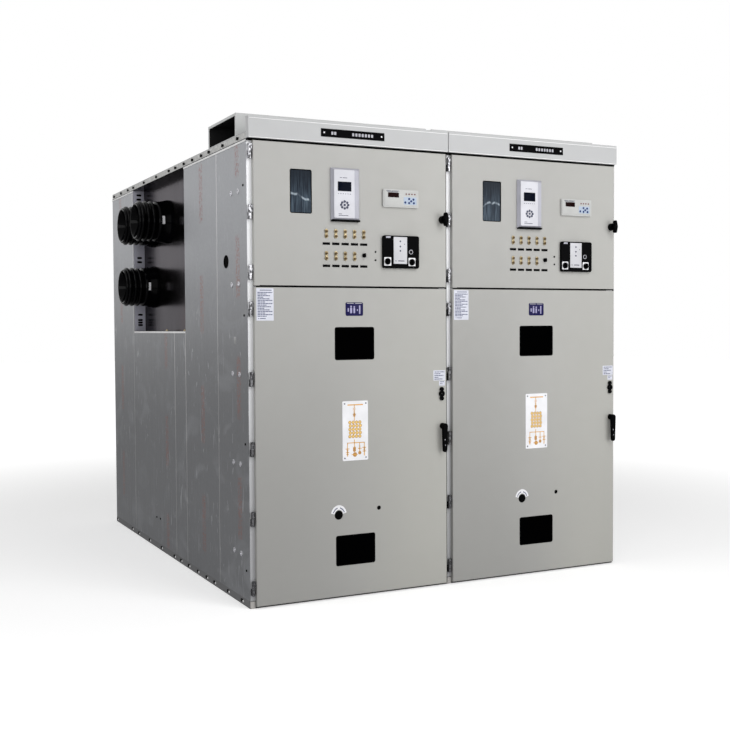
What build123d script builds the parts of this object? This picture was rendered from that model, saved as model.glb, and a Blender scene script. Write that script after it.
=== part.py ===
from build123d import *
import os

# Metal-enclosed switchgear: two equal cubicles side by side.
# Millimetres. X runs to the right along the front, Y into the depth, Z up.
# The origin lies on the floor, at the centre of the footprint; the doors face -Y.

# Enclosure
WIDTH = 1200.0  # one cubicle
DEPTH = 2800.0
HEIGHT = 2480.0  # floor to roof sheet
SHEET = 3.0  # walls, roof, floor, partitions
SEAM = 1.0  # open joint between two roof sheets or two rails
CUBICLES = (-WIDTH, 0.0)  # left edge of each cubicle

# Frame of lipped channels
BASE_H = 40.0
BASE_W = 60.0
BASE_T = 5.0
POST_W = 45.0
POST_D = 60.0
POST_SLOT = 30.0
RAIL_H = 34.0
RAIL_W = 40.0
CROSS_H = 40.0
CROSS_SLOT = 16.0
ANCHOR_R = 9.0
ANCHOR_INSET = 30.0
ANCHOR_END = 110.0
FLOOR_GAP = 1.0  # floor plate to posts

FRONT = -DEPTH / 2
REAR = DEPTH / 2
WALL_TOP = HEIGHT - SHEET - RAIL_H
FACE = Plane.XZ.offset(-FRONT)  # the frame's front plane, looking out of it

# Bus chamber opening in the side walls, from the front plane and down from the rails
BUS_Y0 = 1043.0
BUS_LENGTH = 1171.0
BUS_H = 994.0
BUS_Y1 = BUS_Y0 + BUS_LENGTH
BUS_Z0 = WALL_TOP - BUS_H
TRAY_DEPTH = 80.0
NEAR_BUS = BUS_Y1 - 569.0
FAR_BUS = BUS_Y1 - 229.0
UPPER_BUS = WALL_TOP - 272.0
LOWER_BUS = WALL_TOP - 688.0
BUSHING_PLACES = ((NEAR_BUS, UPPER_BUS), (FAR_BUS, UPPER_BUS), (FAR_BUS, LOWER_BUS))

# Ribbed bushing
BUSHING_REACH = 145.0  # beyond the side wall
COLLAR_R = 143.0
COLLAR_EDGE = 12.0
COLLAR_TAPER = 60.0
BODY_L = 100.0  # smooth part between the tray plate and the ribs
BODY_EDGE = 8.0
RIB_R = 131.0
RIB_ROOT_R = 117.0
RIB_COUNT = 3
MOUTH_L = 16.0
MOUTH_R = 123.0
BUS_BORE_R = 78.0
MOUTH_TAPER = 70.0
STUB_R = 104.0
STUB_L = 70.0
STUB_PLAY = 1.0
SIDE_HOLE_R = 35.0
SIDE_HOLE = (312.0, WALL_TOP - 614.0)

# Doors, seen from the front, measured from a cubicle's left edge
DOOR_SIDE = 30.0  # left edge to the hinged side
DOOR_END = 12.0  # free side to the right edge
DOOR_X0 = DOOR_SIDE
DOOR_X1 = WIDTH - DOOR_END
DOOR_MIDDLE = (DOOR_X0 + DOOR_X1) / 2
DOOR_D = 25.0
DOOR_SKIN = 2.5
DOOR_LIP = 16.0
DOOR_BEND = 3.0
DOOR_TOP = 46.0  # upper door below the roof
DOOR_GAP = 7.0
UPPER_H = 747.0
LOWER_Z0 = 13.0
UPPER_Z1 = HEIGHT - DOOR_TOP
UPPER_Z0 = UPPER_Z1 - UPPER_H
LOWER_Z1 = UPPER_Z0 - DOOR_GAP
DOOR_FACE = FACE.offset(DOOR_D)

# Hinges
HINGE_X = 15.0
HINGE_OUT = 12.0
HINGE_R = 9.0
PIN_R = 4.0
PIN_PLAY = 0.3
PIN_SHORT = 3.0
HINGE_H = 76.0
LEAF_T = 5.0
FOOT_W = 20.0
FOOT_T = 3.0
UPPER_HINGES = (UPPER_Z0 + 69.0, (UPPER_Z0 + UPPER_Z1) / 2 + 7.0, UPPER_Z1 - 54.0)
LOWER_HINGE_COUNT = 5
LOWER_HINGE_Z0 = LOWER_Z0 + 94.0
LOWER_HINGE_Z1 = LOWER_Z1 - 114.0
LOWER_HINGE_PITCH = (LOWER_HINGE_Z1 - LOWER_HINGE_Z0) / (LOWER_HINGE_COUNT - 1)
LOWER_HINGES = [LOWER_HINGE_Z0 + i * LOWER_HINGE_PITCH for i in range(LOWER_HINGE_COUNT)]

# Places on the upper door: left, right, bottom, top
UPPER_WINDOW = (DOOR_X0 + 204.0, DOOR_X0 + 331.0, UPPER_Z1 - 365.0, UPPER_Z1 - 134.0)
RELAY = (DOOR_X0 + 439.0, DOOR_X0 + 609.0, UPPER_Z1 - 395.0, UPPER_Z1 - 116.0)
CONTROLLER = (DOOR_X1 - 405.0, DOOR_X1 - 184.0, UPPER_Z1 - 311.0, UPPER_Z1 - 214.0)
INDICATOR = (DOOR_X1 - 409.0, DOOR_X1 - 184.0, UPPER_Z1 - 644.0, UPPER_Z1 - 466.0)
KNOB = (DOOR_X1 - 26.0, UPPER_Z1 - 368.0)
UPPER_WINDOW_R = 10.0
UPPER_PANE_T = 4.0
UPPER_PANE_LAP = 12.0

# Devices: bezel in front of the door, body behind it
CUTOUT_LAP = 6.0
BODY_PLAY = 1.0
BEZEL_R = 6.0
RELAY_FLANGE = 6.0
RELAY_RISE = 18.0
RELAY_TAPER = 35.0
RELAY_BODY = 130.0
CONTROLLER_BEZEL = 12.0
CONTROLLER_BODY = 90.0
INDICATOR_BEZEL = 16.0
INDICATOR_BODY = 60.0
INDICATOR_R = 12.0

# Links in two rows, left of the indicator
LINK_PITCH = 56.0
LINK_COUNTS = (5, 4)
LINK_CLEARANCE = 112.0  # last link to the indicator
LINK_X = INDICATOR[0] - LINK_CLEARANCE - (LINK_COUNTS[0] - 1) * LINK_PITCH
LINK_HEIGHTS = (UPPER_Z1 - 466.0, UPPER_Z1 - 584.0)
LINK_W = 26.0
LINK_H = 50.0
LINK_T = 4.0
TERMINAL_R = 8.0
TERMINAL_H = 9.0
TERMINAL_PITCH = 26.0

# Places on the lower door
WINDOW_W = 240.0
WINDOW_R = 12.0
WINDOW_A_H = 178.0
WINDOW_A_DROP = 210.0  # window A below the door's top
WINDOW_B_H = 166.0
WINDOW_B_RISE = 165.0  # window B above the door's foot
PANE_T = 5.0
PANE_LAP = 15.0
MIMIC_W = 155.0
MIMIC_H = 323.0
MIMIC_DROP = 222.0  # plate below window A
MIMIC_T = 2.0
MIMIC_R = 6.0
RACKING_HOLE = (DOOR_MIDDLE - 102.0, LOWER_Z0 + 443.0)
RACKING_R = 25.0
KEY_HOLE = (DOOR_MIDDLE + 144.0, LOWER_Z0 + 464.0)
KEY_R = 12.0
WINDOW_A_Z1 = LOWER_Z1 - WINDOW_A_DROP
WINDOW_A_Z0 = WINDOW_A_Z1 - WINDOW_A_H
WINDOW_B_Z0 = LOWER_Z0 + WINDOW_B_RISE
MIMIC_Z1 = WINDOW_A_Z0 - MIMIC_DROP

# Lever, escutcheon and lock knob
LEVER = (DOOR_X1 - 28.0, LOWER_Z0 + 896.0)
LEVER_R = 17.0
LEVER_LENGTH = 133.0
LEVER_TIP_R = 13.0
LEVER_T = 16.0
LEVER_STAND = 22.0
LEVER_EDGE = 4.0
LEVER_GAP = 6.0
SHAFT_R = 8.0
ESCUTCHEON = (DOOR_X1 - 33.0, LOWER_Z0 + 1078.0)
ESCUTCHEON_R = 17.0
ESCUTCHEON_TIP_R = 12.0
ESCUTCHEON_REACH = 26.0
ESCUTCHEON_T = 10.0
KEYWAY_R = 5.0
BARREL_R = 22.0
BARREL_L = 30.0
WING_R = 15.0
WING_TIP_R = 9.0
WING_REACH = 29.0
WING_T = 22.0
WING_EDGE = 4.0

# Fascia, nameplate and wiring duct
FASCIA_GAP = 11.0  # above the upper door
FASCIA_H = 112.0
FASCIA_OUT = 38.0
FASCIA_JOINT = 5.0
FASCIA_Z0 = UPPER_Z1 + FASCIA_GAP
FASCIA_Z1 = FASCIA_Z0 + FASCIA_H
NAMEPLATE_W = 380.0
NAMEPLATE_H = 43.0
NAMEPLATE_RISE = 31.0
NAMEPLATE_T = 2.0
DUCT_Y0 = 143.0
DUCT_D = 440.0
DUCT_H = 122.0
DUCT_GAP = 40.0  # between two ducts in a row
DUCT_LIP = 14.0

# Inner sheets
BOX_DEPTH = 500.0  # instrument box behind the upper door

os.makedirs("parts", exist_ok=True)


def save(builder, name):
    """Label a finished piece and write it as a STEP file of that name."""
    builder.part.label = name
    export_step(builder.part, f"parts/{name}.step")


def box(x0, x1, y0, y1, z0, z1, mode=Mode.ADD):
    """Add or cut a block between two corners in the current part."""
    with BuildSketch(Plane.XY.offset(z0)) as outline:
        with Locations(((x0 + x1) / 2, (y0 + y1) / 2)):
            Rectangle(x1 - x0, y1 - y0)
    extrude(outline.sketch, amount=z1 - z0, mode=mode)


def folded_box(x0, x1, y0, y1, z0, z1):
    """Add a closed box of bent sheet."""
    box(x0, x1, y0, y1, z0, z1)
    box(x0 + SHEET, x1 - SHEET, y0 + SHEET, y1 - SHEET, z0 + SHEET, z1 - SHEET, Mode.SUBTRACT)


def channel(plane, width, height, slot, side, length):
    """Add a lipped channel; its slot is on the +x or -x side of the section's plane."""
    with BuildSketch(plane) as section:
        Rectangle(width, height)
        Rectangle(width - 2 * SHEET, height - 2 * SHEET, mode=Mode.SUBTRACT)
        with Locations((side * (width - SHEET) / 2, 0)):
            Rectangle(SHEET, slot, mode=Mode.SUBTRACT)
    extrude(section.sketch, amount=length)


def panel(left, place, plane, depth, grow=0.0, radius=0.0, mode=Mode.ADD, taper=0.0):
    """Add or cut a plate that is given by its outline as seen from the front."""
    x0, x1, z0, z1 = place
    with BuildSketch(plane) as outline:
        with Locations((left + (x0 + x1) / 2, (z0 + z1) / 2)):
            if radius > 0:
                RectangleRounded(x1 - x0 + 2 * grow, z1 - z0 + 2 * grow, radius)
            else:
                Rectangle(x1 - x0 + 2 * grow, z1 - z0 + 2 * grow)
    extrude(outline.sketch, amount=depth, mode=mode, taper=taper)


def disc(left, place, radius, plane, depth, mode=Mode.ADD):
    """Add or cut a round of the given radius as seen from the front."""
    with BuildSketch(plane) as outline:
        with Locations((left + place[0], place[1])):
            Circle(radius)
    extrude(outline.sketch, amount=depth, mode=mode)


def centred(x, width, z0, height):
    """Place of a plate about a vertical line: left, right, bottom, top."""
    return (x - width / 2, x + width / 2, z0, z0 + height)


WINDOW_A = centred(DOOR_MIDDLE, WINDOW_W, WINDOW_A_Z0, WINDOW_A_H)
WINDOW_B = centred(DOOR_MIDDLE, WINDOW_W, WINDOW_B_Z0, WINDOW_B_H)
MIMIC = centred(DOOR_MIDDLE, MIMIC_W, MIMIC_Z1 - MIMIC_H, MIMIC_H)
NAMEPLATE = centred(WIDTH / 2, NAMEPLATE_W, FASCIA_Z0 + NAMEPLATE_RISE, NAMEPLATE_H)
UPPER_DOOR = (DOOR_X0, DOOR_X1, UPPER_Z0, UPPER_Z1)
LOWER_DOOR = (DOOR_X0, DOOR_X1, LOWER_Z0, LOWER_Z1)

# Base frames: channels around each footprint, with anchor holes in the lower flange
with BuildPart() as base_frames:
    for left in CUBICLES:
        right = left + WIDTH
        box(left, right, FRONT, REAR, 0, BASE_H)
        box(
            left + BASE_W, right - BASE_W, FRONT + BASE_W, REAR - BASE_W,
            0, BASE_H, Mode.SUBTRACT,
        )
        box(
            left + BASE_T, right - BASE_T, FRONT + BASE_T, REAR - BASE_T,
            BASE_T, BASE_H - BASE_T, Mode.SUBTRACT,
        )
        with BuildSketch(Plane.XY):
            with Locations((left + WIDTH / 2, 0)):
                with GridLocations(WIDTH - 2 * ANCHOR_INSET, DEPTH - 2 * ANCHOR_END, 2, 2):
                    Circle(ANCHOR_R)
        extrude(amount=BASE_T, mode=Mode.SUBTRACT)
save(base_frames, "base_frames")

# Floor plates on the upper flanges
with BuildPart() as floor_plates:
    inset_x = SHEET + POST_W + FLOOR_GAP
    inset_y = POST_D + SHEET + FLOOR_GAP
    for left in CUBICLES:
        box(
            left + inset_x, left + WIDTH - inset_x, FRONT + inset_y, REAR - inset_y,
            BASE_H, BASE_H + SHEET,
        )
save(floor_plates, "floor_plates")

# Corner posts: lipped channels inside the side walls, open towards the cubicle
with BuildPart() as corner_posts:
    for left in CUBICLES:
        for x, side in (
            (left + SHEET + POST_W / 2, 1),
            (left + WIDTH - SHEET - POST_W / 2, -1),
        ):
            for y in (FRONT + POST_D / 2, REAR - SHEET - POST_D / 2):
                foot = Plane(origin=(x, y, BASE_H))
                channel(foot, POST_W, POST_D, POST_SLOT, side, WALL_TOP - BASE_H)
save(corner_posts, "corner_posts")


def wall(name, x0, x1, y0, y1, z0, z1, hole=None):
    """One side wall panel; y is measured from the front plane."""
    with BuildPart() as sheet:
        box(x0, x1, FRONT + y0, FRONT + y1, z0, z1)
        if hole:
            with BuildSketch(Plane.YZ.offset(x0)):
                with Locations((FRONT + hole[0], hole[1])):
                    Circle(SIDE_HOLE_R)
            extrude(amount=x1 - x0, mode=Mode.SUBTRACT)
    save(sheet, name)


# Side walls: panels before, under and behind the bus opening
for side, x0, x1 in (("left", -WIDTH, SHEET - WIDTH), ("inner", -SHEET, SHEET)):
    wall(f"{side}_wall_front", x0, x1, 0, BUS_Y0, BASE_H, WALL_TOP, SIDE_HOLE)
    wall(f"{side}_wall_mid", x0, x1, BUS_Y0, BUS_Y1, BASE_H, BUS_Z0)
    wall(f"{side}_wall_rear", x0, x1, BUS_Y1, DEPTH, BASE_H, WALL_TOP)
wall("right_wall", WIDTH - SHEET, WIDTH, 0, DEPTH, BASE_H, WALL_TOP)

# Side rails: channels along the top of each side wall, open towards the cubicle
with BuildPart() as side_rails:
    for left in CUBICLES:
        for x, side in (
            (left + SEAM / 2 + RAIL_W / 2, 1),
            (left + WIDTH - SEAM / 2 - RAIL_W / 2, -1),
        ):
            end = Plane(
                origin=(x, FRONT, WALL_TOP + RAIL_H / 2), x_dir=(1, 0, 0), z_dir=(0, 1, 0)
            )
            channel(end, RAIL_W, RAIL_H, RAIL_H - 2 * SHEET, side, DEPTH)
save(side_rails, "side_rails")

# Cross rails between the posts: top front, between the doors, top rear
with BuildPart() as cross_rails:
    start = SHEET + POST_W
    for left in CUBICLES:
        for y, z, side in (
            (FRONT + CROSS_H / 2, WALL_TOP - CROSS_H / 2, 1),
            (FRONT + CROSS_H / 2, LOWER_Z1, 1),
            (REAR - SHEET - CROSS_H / 2, WALL_TOP - CROSS_H / 2, -1),
        ):
            end = Plane(origin=(left + start, y, z), x_dir=(0, 1, 0), z_dir=(1, 0, 0))
            channel(end, CROSS_H, CROSS_H, CROSS_SLOT, side, WIDTH - 2 * start)
save(cross_rails, "cross_rails")

# Roof sheets on the side rails, one over each chamber
with BuildPart() as roof_plates:
    for left in CUBICLES:
        for y0, y1 in ((0, BUS_Y0), (BUS_Y0 + SEAM, BUS_Y1), (BUS_Y1 + SEAM, DEPTH)):
            box(
                left + SEAM / 2, left + WIDTH - SEAM / 2, FRONT + y0, FRONT + y1,
                HEIGHT - SHEET, HEIGHT,
            )
save(roof_plates, "roof_plates")

# Rear covers, an upper and a lower one on each cubicle
with BuildPart() as rear_covers:
    for left in CUBICLES:
        for z0, z1 in ((BASE_H, BUS_Z0 - SEAM), (BUS_Z0 + SEAM, WALL_TOP)):
            box(left + SHEET, left + WIDTH - SHEET, REAR - SHEET, REAR, z0, z1)
save(rear_covers, "rear_covers")

# Partition behind the truck compartment, and the floor and back of the instrument box
with BuildPart() as partitions:
    box_z0 = LOWER_Z1 + CROSS_H / 2
    box_y0 = FRONT + CROSS_H
    box_y1 = FRONT + BOX_DEPTH
    for left in CUBICLES:
        x0 = left + SHEET
        x1 = left + WIDTH - SHEET
        box(x0, x1, FRONT + BUS_Y0 - SHEET, FRONT + BUS_Y0, BASE_H + SHEET, WALL_TOP)
        box(x0 + POST_W, x1 - POST_W, box_y0, box_y1, box_z0, box_z0 + SHEET)
        box(x0 + POST_W, x1 - POST_W, box_y1, box_y1 + SHEET, box_z0, WALL_TOP)
save(partitions, "partitions")


def bushing_profile():
    """Half section of a ribbed bushing: along X from the tray plate, radius in Y."""
    length = TRAY_DEPTH + BUSHING_REACH
    pitch = (length - BODY_L - MOUTH_L) / RIB_COUNT
    points = [
        (STUB_L, BUS_BORE_R), (STUB_L, STUB_R), (0, STUB_R), (0, COLLAR_R),
        (-COLLAR_EDGE, COLLAR_R), (-COLLAR_TAPER, RIB_R), (BODY_EDGE - BODY_L, RIB_R), (-BODY_L, RIB_ROOT_R),
    ]
    for rib in range(RIB_COUNT):
        x = -BODY_L - rib * pitch
        points += [(x - pitch * 0.35, RIB_ROOT_R), (x - pitch * 0.7, RIB_R), (x - pitch, RIB_ROOT_R)]
    points += [
        (MOUTH_L / 4 - length, MOUTH_R), (-length, MOUTH_R - MOUTH_L / 4),
        (-length, RIB_ROOT_R - MOUTH_L / 2), (MOUTH_TAPER - length, BUS_BORE_R),
    ]
    Polyline(*points, close=True)


def door(place, name, windows, holes):
    """A door of bent sheet: skin, four returns and the lips behind them, with its cut-outs."""
    with BuildPart() as leaf:
        panel(left, place, FACE, DOOR_D)
        panel(
            left, place, FACE.offset(DOOR_SKIN), DOOR_D - 2 * DOOR_SKIN,
            grow=-DOOR_SKIN, mode=Mode.SUBTRACT,
        )
        panel(left, place, FACE, DOOR_SKIN, grow=-DOOR_SKIN - DOOR_LIP, mode=Mode.SUBTRACT)
        fillet(leaf.faces().sort_by(Axis.Y)[0].edges(), DOOR_BEND)
        for window, grow, radius in windows:
            panel(left, window, FACE, DOOR_D, grow=grow, radius=radius, mode=Mode.SUBTRACT)
        for hole, radius in holes:
            disc(left, hole, radius, FACE, DOOR_D, Mode.SUBTRACT)
    save(leaf, name)


for number, left in enumerate(CUBICLES, start=1):
    plate_x = left + TRAY_DEPTH

    # Bus tray: a recessed plate with returns all round and a hole for each bushing
    with BuildPart() as tray:
        box(left + SHEET, plate_x + SHEET, FRONT + BUS_Y0, FRONT + BUS_Y1, BUS_Z0, WALL_TOP)
        box(
            left + SHEET, plate_x, FRONT + BUS_Y0 + SHEET, FRONT + BUS_Y1 - SHEET,
            BUS_Z0 + SHEET, WALL_TOP - SHEET, Mode.SUBTRACT,
        )
        with BuildSketch(Plane.YZ.offset(plate_x)):
            for y, z in BUSHING_PLACES:
                with Locations((FRONT + y, z)):
                    Circle(STUB_R + STUB_PLAY)
        extrude(amount=SHEET, mode=Mode.SUBTRACT)
    save(tray, f"bus_tray_{number}")

    # Bus bushings: ribbed sleeves through the tray plate
    with BuildPart() as bushings:
        for y, z in BUSHING_PLACES:
            section = Plane(origin=(plate_x, FRONT + y, z), x_dir=(1, 0, 0), z_dir=(0, 0, 1))
            with BuildSketch(section):
                with BuildLine():
                    bushing_profile()
                make_face()
            revolve(axis=Axis((plate_x, FRONT + y, z), (1, 0, 0)))
    save(bushings, f"bus_bushings_{number}")

    # Wiring duct: a box channel along the roof with turned-in lips at its open ends
    with BuildPart() as duct:
        y0 = FRONT + DUCT_Y0
        y1 = y0 + DUCT_D
        z1 = HEIGHT + DUCT_H
        x1 = left + WIDTH - DUCT_GAP
        folded_box(left, x1, y0, y1, HEIGHT, z1)
        box(
            left, x1, y0 + DUCT_LIP, y1 - DUCT_LIP,
            HEIGHT + SHEET, z1 - DUCT_LIP, Mode.SUBTRACT,
        )
    save(duct, f"wiring_duct_{number}")

    door(
        UPPER_DOOR, f"upper_door_{number}",
        [(UPPER_WINDOW, 0, UPPER_WINDOW_R)]
        + [(place, -CUTOUT_LAP, 0) for place in (RELAY, CONTROLLER, INDICATOR)],
        [],
    )
    door(
        LOWER_DOOR, f"lower_door_{number}",
        [(WINDOW_A, 0, WINDOW_R), (WINDOW_B, 0, WINDOW_R)],
        [(RACKING_HOLE, RACKING_R), (KEY_HOLE, KEY_R)],
    )

    # Panes behind the lower door's windows
    with BuildPart() as panes:
        for place in (WINDOW_A, WINDOW_B):
            panel(left, place, DOOR_FACE.offset(-DOOR_SKIN), -PANE_T, grow=PANE_LAP)
    save(panes, f"lower_panes_{number}")

    # Mimic plate on the lower door
    with BuildPart() as mimic:
        panel(left, MIMIC, DOOR_FACE, MIMIC_T, radius=MIMIC_R)
    save(mimic, f"mimic_plate_{number}")

    # Escutcheon of three lobes with its keyway, and the ring that carries the lever
    with BuildPart() as lock_plates:
        x, z = ESCUTCHEON
        disc(left, ESCUTCHEON, ESCUTCHEON_R, DOOR_FACE, ESCUTCHEON_T)
        for reach in (-ESCUTCHEON_REACH, ESCUTCHEON_REACH):
            disc(left, (x, z + reach), ESCUTCHEON_TIP_R, DOOR_FACE, ESCUTCHEON_T)
        disc(left, ESCUTCHEON, KEYWAY_R, DOOR_FACE, ESCUTCHEON_T, Mode.SUBTRACT)
        disc(left, LEVER, LEVER_R, DOOR_FACE, LEVER_STAND - LEVER_GAP)
        disc(left, LEVER, SHAFT_R + PIN_PLAY, DOOR_FACE, LEVER_STAND - LEVER_GAP, Mode.SUBTRACT)
    save(lock_plates, f"lock_plates_{number}")

    # Lever: a shaft in the ring and a tapering grip that hangs from it
    with BuildPart() as lever:
        disc(left, LEVER, SHAFT_R, DOOR_FACE, LEVER_STAND)
        with BuildSketch(DOOR_FACE.offset(LEVER_STAND)):
            with Locations((left + LEVER[0], LEVER[1])):
                Circle(LEVER_R)
            with Locations((left + LEVER[0], LEVER[1] - LEVER_LENGTH)):
                Circle(LEVER_TIP_R)
            make_hull()
        extrude(amount=LEVER_T)
        chamfer(lever.faces().sort_by(Axis.Y)[0].edges(), LEVER_EDGE)
    save(lever, f"lever_{number}")

    # Moving hinge halves on the lower door
    with BuildPart() as leaves:
        pin_y = FRONT - HINGE_OUT
        for z in LOWER_HINGES:
            with BuildSketch(Plane.XY.offset(z)):
                with Locations((left + HINGE_X, pin_y)):
                    Circle(HINGE_R)
                with Locations((left + (HINGE_X + DOOR_X0) / 2, pin_y)):
                    Rectangle(DOOR_X0 - HINGE_X, LEAF_T)
                with Locations((left + HINGE_X, pin_y)):
                    Circle(PIN_R + PIN_PLAY, mode=Mode.SUBTRACT)
            extrude(amount=HINGE_H / 2)
    save(leaves, f"hinge_leaves_{number}")

    # Turn knob of the upper door's lock: a barrel and a winged grip
    with BuildPart() as knob:
        x, z = KNOB
        disc(left, KNOB, BARREL_R, DOOR_FACE, BARREL_L)
        with BuildSketch(DOOR_FACE.offset(BARREL_L)):
            for reach in (-WING_REACH, WING_REACH):
                with BuildSketch(mode=Mode.PRIVATE) as wing:
                    with Locations((left + x, z)):
                        Circle(WING_R)
                    with Locations((left + x, z + reach)):
                        Circle(WING_TIP_R)
                    make_hull()
                add(wing.sketch)
        extrude(amount=WING_T)
        chamfer(knob.faces().sort_by(Axis.Y)[0].edges(), WING_EDGE)
    save(knob, f"lock_knob_{number}")

# Fixed hinge halves with their pins; the upper doors' hinges are whole
with BuildPart() as hinge_brackets:
    pin_y = FRONT - HINGE_OUT
    for left in CUBICLES:
        for z, whole in [(h, False) for h in LOWER_HINGES] + [(h, True) for h in UPPER_HINGES]:
            with BuildSketch(Plane.XY.offset(z - HINGE_H / 2)):
                with Locations((left + HINGE_X, pin_y)):
                    Circle(HINGE_R)
                with Locations((left + HINGE_X, FRONT - HINGE_OUT / 2)):
                    Rectangle(LEAF_T, HINGE_OUT)
                with Locations((left + HINGE_X, FRONT - FOOT_T / 2)):
                    Rectangle(FOOT_W, FOOT_T)
            extrude(amount=HINGE_H / 2)
            with BuildSketch(Plane.XY.offset(z)):
                with Locations((left + HINGE_X, pin_y)):
                    Circle(HINGE_R if whole else PIN_R)
                if whole:
                    with Locations((left + (HINGE_X + DOOR_X0) / 2, pin_y)):
                        Rectangle(DOOR_X0 - HINGE_X, LEAF_T)
            extrude(amount=HINGE_H / 2 - (0 if whole else PIN_SHORT))
save(hinge_brackets, "hinge_brackets")

# Panes of the upper doors
with BuildPart() as upper_panes:
    for left in CUBICLES:
        panel(
            left, UPPER_WINDOW, DOOR_FACE.offset(-DOOR_SKIN), -UPPER_PANE_T,
            grow=UPPER_PANE_LAP,
        )
save(upper_panes, "upper_panes")

# Relays: a flange on the door, a front that narrows outwards and a body behind
with BuildPart() as relays:
    for left in CUBICLES:
        panel(left, RELAY, DOOR_FACE, RELAY_FLANGE, radius=BEZEL_R)
        panel(left, RELAY, DOOR_FACE.offset(RELAY_FLANGE), RELAY_RISE, taper=RELAY_TAPER)
        panel(left, RELAY, DOOR_FACE, -RELAY_BODY, grow=-CUTOUT_LAP - BODY_PLAY)
save(relays, "relays")


def device(name, place, bezel, radius, body):
    """A flush device in each upper door: a bezel on the face and a body behind it."""
    with BuildPart() as unit:
        for left in CUBICLES:
            panel(left, place, DOOR_FACE, bezel, radius=radius)
            panel(left, place, DOOR_FACE, -body, grow=-CUTOUT_LAP - BODY_PLAY)
    save(unit, name)


device("controllers", CONTROLLER, CONTROLLER_BEZEL, BEZEL_R, CONTROLLER_BODY)
device("indicators", INDICATOR, INDICATOR_BEZEL, INDICATOR_R, INDICATOR_BODY)

# Links in two rows: a strap with two hexagonal terminal nuts each
with BuildPart() as link_plates:
    for left in CUBICLES:
        for count, z in zip(LINK_COUNTS, LINK_HEIGHTS):
            for index in range(count):
                x = LINK_X + index * LINK_PITCH
                panel(left, centred(x, LINK_W, z - LINK_H / 2, LINK_H), DOOR_FACE, LINK_T)
                with BuildSketch(DOOR_FACE):
                    with Locations((left + x, z)):
                        with GridLocations(0, TERMINAL_PITCH, 1, 2):
                            RegularPolygon(TERMINAL_R, 6)
                extrude(amount=LINK_T + TERMINAL_H)
save(link_plates, "link_plates")

# Fascias: folded caps in front of the roof edge
with BuildPart() as fascias:
    for left in CUBICLES:
        x1 = left + WIDTH - FASCIA_JOINT
        box(left, x1, FRONT - FASCIA_OUT, FRONT, FASCIA_Z0, FASCIA_Z1)
        box(
            left + SHEET, x1 - SHEET, FRONT - FASCIA_OUT + SHEET, FRONT,
            FASCIA_Z0 + SHEET, FASCIA_Z1 - SHEET, Mode.SUBTRACT,
        )
save(fascias, "fascias")

# Nameplates on the fascias
with BuildPart() as nameplates:
    for left in CUBICLES:
        panel(left, NAMEPLATE, FACE.offset(FASCIA_OUT), NAMEPLATE_T)
save(nameplates, "nameplates")
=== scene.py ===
"""Looks of a metal-enclosed switchgear of two cubicles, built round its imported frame.

Lengths inside the fittings are millimetres, measured from a cubicle's left edge (x),
from the front plane of the frame (y, negative towards the viewer) and from the floor (z).
Vectors, finishes and the studio are in metres, the sizes given to the bench in millimetres.
"""

import logging
import math
from dataclasses import dataclass, field
from enum import Enum
from typing import Callable, Iterable, Optional, Sequence

import bmesh
import bpy
from mathutils import Matrix, Vector

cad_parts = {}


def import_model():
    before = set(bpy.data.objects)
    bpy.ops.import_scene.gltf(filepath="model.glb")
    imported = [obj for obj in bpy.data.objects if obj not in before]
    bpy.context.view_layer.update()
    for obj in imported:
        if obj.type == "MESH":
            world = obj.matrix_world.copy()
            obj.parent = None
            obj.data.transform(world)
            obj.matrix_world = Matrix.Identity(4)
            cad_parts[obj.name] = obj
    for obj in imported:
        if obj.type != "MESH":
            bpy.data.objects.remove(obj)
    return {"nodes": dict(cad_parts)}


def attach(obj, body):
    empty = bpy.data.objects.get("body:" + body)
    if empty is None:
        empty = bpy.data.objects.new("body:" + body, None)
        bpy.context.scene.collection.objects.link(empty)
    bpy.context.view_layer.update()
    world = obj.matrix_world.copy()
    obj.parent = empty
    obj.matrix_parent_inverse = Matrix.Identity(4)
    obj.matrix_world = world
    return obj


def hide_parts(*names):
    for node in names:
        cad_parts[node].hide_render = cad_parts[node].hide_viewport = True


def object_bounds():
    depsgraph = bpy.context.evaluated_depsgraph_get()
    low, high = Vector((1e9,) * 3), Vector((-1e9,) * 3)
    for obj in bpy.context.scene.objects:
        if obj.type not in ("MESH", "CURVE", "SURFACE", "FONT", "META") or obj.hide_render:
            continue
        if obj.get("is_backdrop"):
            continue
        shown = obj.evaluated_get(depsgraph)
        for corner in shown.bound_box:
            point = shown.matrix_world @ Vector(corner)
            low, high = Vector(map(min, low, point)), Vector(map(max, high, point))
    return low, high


LOG = logging.getLogger("switchgear")
Colour = tuple[float, float, float]
Spot = tuple[float, float]
Place = Sequence[float]
Box = tuple[float, float, float, float]
Socket = bpy.types.NodeSocket
Piece = bpy.types.Object
MM = 0.001
FRONT_Y = -1400.0
WIDTH = 1200.0
DOOR_Y = -25.0
FASCIA_Y = -38.0
ENCLOSURE = "enclosure"
FACING = 0.99
SAME_LEVEL = 0.00001
TOUCH = 0.000001
WELD = 0.00002
SMOOTH_ANGLE = math.radians(32)
RIB_STEPS = 8
LIP_STEPS = 12
RAGGED = (0.0, 0.4, 0.1, 0.55, 0.2, 0.0, 0.5)
WORD_GAP = 1.8
BLACK: Colour = (0.0, 0.0, 0.0)
WHITE: Colour = (1.0, 1.0, 1.0)


class Side(Enum):
    """The side that a block or disc looks to."""

    LEFT = (-1.0, 0.0, 0.0)
    FRONT = (0.0, -1.0, 0.0)
    TOP = (0.0, 0.0, 1.0)

    @property
    def way(self) -> Vector:
        """Direction of this side."""
        return Vector(self.value)

    @property
    def turn(self) -> tuple[float, float, float]:
        """Rotation that turns an upright axis to this side."""
        return (-self.value[1] * math.pi / 2, -self.value[0] * math.pi / 2, 0.0)


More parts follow.
